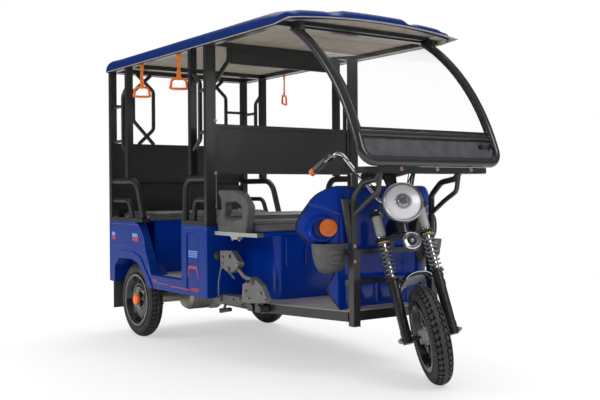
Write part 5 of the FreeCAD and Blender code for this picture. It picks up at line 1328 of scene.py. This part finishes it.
def starting_pad(node, low, high, corner):
    """A rounded block a little smaller than its place, with an even net all over."""
    mesh = bmesh.new()
    rings = []
    for inset, rise in PAD_RINGS:
        z = (high.z if rise < 0 else low.z) + rise
        rings.append(rounded_loop(low.x + inset, high.x - inset, low.y + inset, high.y - inset, z,
                                  max(corner - inset, 10)))
    skin(mesh, rings)
    obj = piece(node + "_pad", mesh, leathercloth)
    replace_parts(obj, node)
    remesh = obj.modifiers.new("even", "REMESH")
    remesh.mode, remesh.voxel_size = "VOXEL", PAD_VOXEL * MM
    bpy.context.view_layer.update()
    even = evaluated(obj)
    obj.modifiers.clear()
    obj.data = even
    return obj


def blow_up(obj, bottom):
    """A short cloth run with air inside and no gravity, all below a height held in place."""
    held = obj.vertex_groups.new(name="held")
    held.add([v.index for v in obj.data.vertices if v.co.z < bottom * MM], 1.0, "REPLACE")
    cloth = obj.modifiers.new("swell", "CLOTH")
    cloth.settings.use_pressure, cloth.settings.uniform_pressure_force = True, PAD_PRESSURE
    cloth.settings.effector_weights.gravity = 0
    cloth.settings.vertex_group_mass = held.name
    cloth.settings.quality, cloth.settings.tension_stiffness = 4, 25
    cloth.point_cache.frame_start, cloth.point_cache.frame_end = 1, PAD_FRAMES
    for step in range(1, PAD_FRAMES + 1):
        bpy.context.scene.frame_set(step)
    blown = evaluated(obj)
    obj.modifiers.clear()
    obj.vertex_groups.clear()
    obj.data = blown
    bpy.context.scene.frame_set(1)


def keep_inside(obj, start, low, high):
    """Limits how far each point has moved, and keeps the pad inside its place."""
    most = MOST_MOVE * MM
    inner_low, inner_high = [v * MM + 0.0006 for v in low], [v * MM - 0.0006 for v in high]
    for vertex, origin in zip(obj.data.vertices, start):
        move = vertex.co - origin
        if move.length > most:
            move *= most / move.length
        vertex.co = [min(max(v, a), b) for v, a, b in zip(origin + move, inner_low, inner_high)]


print("pads are remeshed in steps of", PAD_VOXEL, "mm")

# %% [markdown]
# Each pad goes through the same steps: a block, an even net, air, limits, and a light smoothing that takes
# away the steps of the net. The piping is a cord swept along the rounded outline.

# %% Cushion and piping


def cushion(node, corner):
    """A foam pad blown up inside the block that the engineering model keeps for it."""
    low, high = (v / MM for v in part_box(node))
    obj = starting_pad(node, low, high, corner)
    start = [v.co.copy() for v in obj.data.vertices]
    blow_up(obj, low.z + 8)
    keep_inside(obj, start, low, high)
    obj.data.materials.clear()
    obj.data.materials.append(leathercloth)
    smooth = bmesh.new()
    smooth.from_mesh(obj.data)
    for _ in range(3):
        bmesh.ops.smooth_vert(smooth, verts=smooth.verts, factor=0.4, use_axis_x=True, use_axis_y=True,
                              use_axis_z=True)
    smooth.to_mesh(obj.data)
    smooth.free()
    obj.data.shade_smooth()
    return low, high


def piping(name, low, high, corner, drop):
    """A thin piped seam round a pad."""
    mesh = bmesh.new()
    loop = rounded_loop(low.x + 2.0, high.x - 2.0, low.y + 2.0, high.y - 2.0, high.z - drop, corner, 8)
    sweep(mesh, loop, disc_section(2.2, 8), closed=True)
    piece(name, mesh, seat_piping)


# %% [markdown]
# The driver has a pad of their own, and the two benches face each other. Where the cloth run is left out,
# the pads keep their starting form.

# %% Padded seats
for node, corner in (("driver_cushion", 22), ("front_cushion", 22), ("rear_cushion", 26)):
    low, high = cushion(node, corner)
    piping(node + "_piping", low, high, corner, 17)

# %% [markdown]
# ## Grab handles
# Each is a woven strap sewn into a loop, waisted where its two layers are stitched together, with a moulded
# stirrup in its lower end. A cloth run could hang it, but a strap this short hangs straight, so its two
# layers are drawn where they rest: apart at the top and round the stirrup, together at the stitches.

# %% Straps and stirrups
STRAPS = ((-842, -1), (-352, -1), (-762, 1))
strap_top, strap_drop, stirrup_half = 1695, 137, 46
stirrup_section = [(6.2 * a, 7.4 * b) for a, b in disc_section(1.0, 12)]
mesh, rings, thread = bmesh.new(), bmesh.new(), bmesh.new()
for x, hand in STRAPS:
    hung = Vector((x, hand * 505, strap_top))
    across = Vector((0.43, 0.9, 0) if hand < 0 else (0.62, -0.78, 0)).normalized()
    facing = Vector((across.y, -across.x, 0))
    for layer in (-1, 1):
        rows = []
        for i in range(25):
            share = i / 24
            width = 13 - 4.5 * math.sin(math.pi * min(1.0, share * 1.15)) ** 2
            gap = 1.4 + 4.0 * max(0.0, 1 - share / 0.2) ** 2 + 4.6 * max(0.0, (share - 0.86) / 0.14) ** 1.5
            centre = hung - Vector((0, 0, 1 + (strap_drop + 2) * share)) + facing * layer * gap
            rows.append([centre + across * a + facing * b for a, b in
                         ((-width, -0.9), (width, -0.9), (width, 0.9), (-width, 0.9))])
        skin(mesh, rows)
    loop_foot = hung - Vector((0, 0, strap_drop + 3))
    fold = []
    for i in range(9):
        t = math.pi * i / 8
        fold.append(loop_foot + facing * 6.4 * math.cos(t) - Vector((0, 0, 7.6 * math.sin(t))))
    skin(mesh, [[p + across * a for a in (-10, 10)] + [p + across * a + (p - loop_foot).normalized() * 1.6
                for a in (10, -10)] for p in fold])
    for share in (0.3, 0.34, 0.62, 0.66):
        spot = hung - Vector((0, 0, strap_drop * share))
        for out in (2.6, -2.6):
            seam = [spot + across * a + facing * out for a in (-7, -3.5, 0, 3.5, 7)]
            sweep(thread, seam, disc_section(0.6, 5))
    wide, narrow = stirrup_half, stirrup_half * 0.72
    corners = [(-narrow, 8), (narrow, 8), (wide * 0.98, 44), (wide * 0.9, 60), (-wide * 0.9, 60),
               (-wide * 0.98, 44)]
    spots = [hung - Vector((0, 0, strap_drop + drop)) + across * a for a, drop in corners]
    sweep(rings, curve_through(spots, 9, closed=True), stirrup_section, closed=True, start_side=tuple(facing))
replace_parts(piece("grab_strap_webbing", mesh, webbing), "grab_straps")
piece("grab_strap_stirrups", rings, orange_moulding)
piece("grab_strap_stitching", thread, seat_piping)

# %% [markdown]
# ## Parking brake, armrests and chassis details
# The brake's castings are bolted together with pins, washers and a return spring. The armrests are held by
# two bolts through their bar, and the leaf springs by U-bolts round the axle. These are catalogue parts, so
# they come from the same bolt, rod and ring functions at measured places; the spring is a true coil.

# %% Parking brake and armrest fasteners
brake_y = -478
SPRING_TURNS, SPRING_POINTS = 12, 141
mesh, dark = bmesh.new(), bmesh.new()
for x, z, size in ((105, 582, 9), (196, 583, 9), (262, 530, 10), (388, 452, 14), (330, 396, 11),
                   (362, 360, 10), (470, 396, 12), (512, 366, 10), (100, 500, 8)):
    bolt(mesh, (x, brake_y - 17 if z > 470 else brake_y - 10, z), (0, -1, 0), size)
coil = []
for i in range(SPRING_POINTS):
    t = i / (SPRING_POINTS - 1)
    turn = math.tau * t * SPRING_TURNS
    middle = Vector((150 + 92 * t, brake_y - 22, 505 - 50 * t))
    coil.append(middle + Vector((0, math.cos(turn), math.sin(turn))) * 4.6)
sweep(mesh, coil, disc_section(0.9, 5))
for at, way in (((226, brake_y, 520), (0.83, 0, -0.56)), ((364, brake_y, 457), (0.97, 0, -0.22))):
    revolve(mesh, [(11.3, 0), (13.5, 0), (13.5, 9), (11.3, 9)], at, way, 24)
for hand in (-1, 1):
    for x in (168, 236):
        bolt(mesh, (x, hand * 464, 654), (0, 0, -1), 11)
for x, z in ((60, 331), (180, 338), (246, 340)):
    bolt(mesh, (x, brake_y + 4, z), (0, -1, 0), 10)
piece("brake_fasteners", mesh, silver_steel)
revolve(dark, [(0, 0), (8.5, 0), (8.5, 12), (0, 12)], (388, brake_y - 28, 452), (0, -1, 0), 20)
revolve(dark, [(23, -1), (24.2, 3), (24.2, 15), (23, 19)], (52, brake_y, 563), (0, -1, 0), 32)
revolve(dark, [(22.4, 17), (18, 24.6), (9, 26), (0, 26)], (52, brake_y, 563), (0, -1, 0), 32)
foot_pad = [Vector((x, brake_y - 21, z)) for x, z in ((96, 276), (150, 284), (200, 291))]
sweep(dark, foot_pad, disc_section(9, 14))
piece("brake_rubber", dark, black_rubber)

# %% [markdown]
# U-bolts clamp the axle to the leaf springs over a plate with nuts, and each is a rod swept over the axle.
# Thin rings round the motor's housing are the fins that cool it.

# %% Spring U-bolts and motor
AXLE_X, SPRING_Y = -939, 385
mesh = bmesh.new()
for hand in (-1, 1):
    for x in (AXLE_X - 52, AXLE_X + 52):
        arch = ((-24, 196), (-24, 250), (-24, 282), (24, 282), (24, 250), (24, 196))
        sweep(mesh, [Vector((x, hand * SPRING_Y + a, z)) for a, z in arch], disc_section(5, 8))
        for a in (-24, 24):
            bolt(mesh, (x, hand * SPRING_Y + a, 198), (0, 0, -1), 12)
    corners = ((-70, -34), (70, -34), (70, 34), (-70, 34))
    plate(mesh, [(AXLE_X + a, hand * SPRING_Y + b, 198) for a, b in corners], (0, 0, 8), 1)
piece("spring_u_bolts", mesh, black_enamel)

mesh = bmesh.new()
for i in range(9):
    z_out = 14 + i * 15
    revolve(mesh, [(86, z_out), (93, z_out + 1.2), (93, z_out + 3.4), (86, z_out + 4.6)],
            (AXLE_X + 110, -60, 252), (0, -1, 0), 40)
piece("motor_fins", mesh, cast_alloy)
route = [(-800, -120, 336), (-770, -116, 300), (-790, -112, 286), (-822, -108, 330)]
cable("motor_cable", route, 6, black_rubber, "chassis")

# %% [markdown]
# ## Back closing strips and seat box pressing
# Black strips close the gaps between the panels of the cabin's back, and the front of the seat box has a
# pressed step. The strips are plain plates. The step is a swept bead on the sheet, as on the sides.

# %% Back closing strips and seat box pressing
mesh = bmesh.new()
for low, high in ((925, 982), (745, 785)):
    corners = ((-470, low), (470, low), (470, high), (-470, high))
    plate(mesh, [(-1304, y, z) for y, z in corners], (4, 0, 0), 1)
piece("back_closing_strips", mesh, black_sheet)
mesh = bmesh.new()
seat_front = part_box("seat_box")[1].x / MM - 0.5
for points in (((-180, 661), (-236, 661), (-236, 508)), ((-108, 596), (-108, 510))):
    sweep(mesh, [Vector((seat_front, y, z)) for y, z in points], [(-2, -7), (3.5, -3), (3.5, 3), (-2, 7)],
          start_side=(1, 0, 0))
piece("seat_box_pressing", mesh, blue_enamel, crease=50)

# %% [markdown]
# ## Rear lamps and mudflaps
# The tail lamps are bought parts: a red lens in a black moulded frame with two bars, held by two screws.
# The flaps hang from two bolts each. Frames and bars are swept along their outline, which gives them an
# even edge.

# %% Rear lamps and mudflaps
rims, screws = bmesh.new(), bmesh.new()
for hand in (-1, 1):
    x, y = -1336, hand * 465
    frame_line = [Vector((x + 3, y + a, 620 + b)) for a, b in ((-26, -54), (26, -54), (26, 54), (-26, 54))]
    square = [(-2.5, -2.5), (2.5, -2.5), (2.5, 2.5), (-2.5, 2.5)]
    sweep(rims, curve_through(frame_line, 1, closed=True), square, closed=True)
    for z in (601, 641):
        sweep(rims, [Vector((x + 0.5, y - 24, z)), Vector((x + 0.5, y + 24, z))], disc_section(1.6, 6))
    for z in (576, 664):
        revolve(screws, [(0, 0), (3.4, 0), (3.4, 1.4), (0, 2.2)], (x + 1, y, z), (-1, 0, 0), 12)
    for a in (-34, 34):
        bolt(screws, (-1272, hand * 469 + a, 314), (-1, 0, 0), 10)
piece("tail_lamp_frames", rims, black_moulding)
piece("rear_screws", screws, silver_steel)

# %% [markdown]
# ## Camera
# The picture is taken from standing height beside the front right corner, with the whole vehicle in the
# frame. The lens and the place were worked out from the vehicle's own straight edges, so they are plain
# numbers here: how far the view swings from the vehicle's side, how far it dips, and how far the horizon
# leans.

# %% Camera
SWING, DIP, LEAN = 0.9557, 0.0083, -0.0059
ahead = Vector((-math.sin(SWING) * math.cos(DIP), math.cos(SWING) * math.cos(DIP), -math.sin(DIP)))
level = Vector((math.cos(SWING), math.sin(SWING), 0))
above = level.cross(ahead)
right = level * math.cos(LEAN) + above * math.sin(LEAN)
up = above * math.cos(LEAN) - level * math.sin(LEAN)
camera = bpy.data.objects.new("camera", bpy.data.cameras.new("camera"))
bpy.context.scene.collection.objects.link(camera)
turn = Matrix((right, up, -ahead)).transposed().to_4x4()
camera.matrix_world = Matrix.Translation((4.1822, -2.8635, 0.8977)) @ turn
camera.data.lens, camera.data.sensor_width = 53.0, 36
camera.data.clip_end = 100
bpy.context.scene.camera = camera
print("the camera stands", round(camera.location.length, 2), "m from the frame's origin")

# %% [markdown]
# ## Floor, backdrop and light
# A product picture stands on white paper that has no visible edge. Far from the vehicle, and in part near
# it, camera rays see the paper glow like the backdrop, so shadows stay light and the two meet without a
# line. Shiny surfaces see a darker hall instead of the white backdrop, which keeps black paint black, and
# they see the lamps as soft windows. A large lamp above the far side makes the main light.

# %% White paper floor
paper, shader = new_finish("white paper", Base_Color=colour("#F4F4F4"), Roughness=0.9)
place = add(paper, "TexCoord")
reach = add(paper, "VectorMath", {0: place.outputs["Object"]}, operation="LENGTH")
far = add(paper, "MapRange", {"Value": reach.outputs["Value"], "From Min": 1.7, "From Max": 3.2,
                              "To Min": 0.5}, interpolation_type="SMOOTHSTEP")
ray = add(paper, "LightPath")
seen = add(paper, "Math", {0: ray.outputs["Is Camera Ray"], 1: ray.outputs["Is Transmission Ray"]},
           operation="MAXIMUM")
share = add(paper, "Math", {0: far.outputs["Result"], 1: seen.outputs["Value"]}, operation="MULTIPLY")
white = add(paper, "Emission", {"Color": (1, 1, 1, 1), "Strength": 1.0})
blend = add(paper, "MixShader", {0: share.outputs["Value"], 1: shader.outputs["BSDF"],
                                 2: white.outputs["Emission"]})
surface = paper.node_tree.nodes["Material Output"].inputs["Surface"]
paper.node_tree.links.new(blend.outputs["Shader"], surface)

ground = bmesh.new()
bmesh.ops.create_circle(ground, cap_ends=True, segments=64, radius=30)
floor = bpy.data.objects.new("paper_floor", bpy.data.meshes.new("paper_floor"))
ground.to_mesh(floor.data)
ground.free()
floor.data.materials.append(paper)
bpy.context.scene.collection.objects.link(floor)
print("floor:", len(paper.node_tree.nodes), "nodes in its finish")

# %% [markdown]
# The world decides what each kind of ray sees: camera rays meet white, shiny surfaces a dim hall with one
# bright window, and all others an even light that fills the shadows.

# %% Hall and backdrop
BACKDROP, FILL, HALL_LOW, HALL_HIGH = 1.0, 0.8, 0.07, 0.3
room = bpy.data.worlds.new("white room")
room.use_nodes = True
bpy.context.scene.world = room
sky = room.node_tree.nodes["Background"]
sky.inputs["Color"].default_value = (1, 1, 1, 1)
ray = add(room, "LightPath")
seen = add(room, "Math", {0: ray.outputs["Is Camera Ray"], 1: ray.outputs["Is Transmission Ray"]},
           operation="MAXIMUM")
way = add(room, "TexCoord")
split = add(room, "SeparateXYZ", {"Vector": way.outputs["Generated"]})
hall = add(room, "MapRange", {"Value": split.outputs["Z"], "From Min": 0.1, "From Max": 0.9,
                              "To Min": HALL_LOW, "To Max": HALL_HIGH}, interpolation_type="SMOOTHSTEP")
toward = add(room, "VectorMath", {0: way.outputs["Generated"], 1: (-0.82, 0.57, 0.02)},
             operation="DOT_PRODUCT")
window = add(room, "MapRange", {"Value": toward.outputs["Value"], "From Min": 0.94, "From Max": 0.99,
                                "To Max": 0.6}, interpolation_type="SMOOTHSTEP")
lit = add(room, "Math", {0: hall.outputs["Result"], 1: window.outputs["Result"]}, operation="ADD")
soft = add(room, "MapRange", {"Value": ray.outputs["Is Glossy Ray"], "To Min": FILL})
room.node_tree.links.new(lit.outputs["Value"], soft.inputs["To Max"])
glow = add(room, "MapRange", {"Value": seen.outputs["Value"], "To Max": BACKDROP})
room.node_tree.links.new(soft.outputs["Result"], glow.inputs["To Min"])
room.node_tree.links.new(glow.outputs["Result"], sky.inputs["Strength"])
print("hall:", len(room.node_tree.nodes), "nodes")

# %% [markdown]
# Three square soft boxes stand round the vehicle, a large one high above the far side and two smaller ones
# in front and beside it. Small lamps would give harder shadows than a studio has.

# %% Lamps


def lamp(name, at, aim, size, power):
    """A square soft box aimed at a point."""
    light = bpy.data.lights.new(name, "AREA")
    light.size, light.energy = size, power
    obj = bpy.data.objects.new(name, light)
    turn = (Vector(aim) - Vector(at)).to_track_quat("-Z", "Y")
    obj.matrix_world = Matrix.Translation(at) @ turn.to_matrix().to_4x4()
    bpy.context.scene.collection.objects.link(obj)
    print(f"{name}: {power} W, {size} m wide")


lamp("soft_box_high", (-1.6, 1.4, 4.6), (0, 0, 0.6), 3.6, 130)
lamp("soft_box_front", (4.2, 0.6, 3.4), (0.6, 0, 0.8), 1.6, 60)
lamp("soft_box_side", (-1.2, -4.8, 3.0), (-0.3, 0, 0.8), 1.8, 70)

bpy.context.scene.view_settings.view_transform = "Standard"
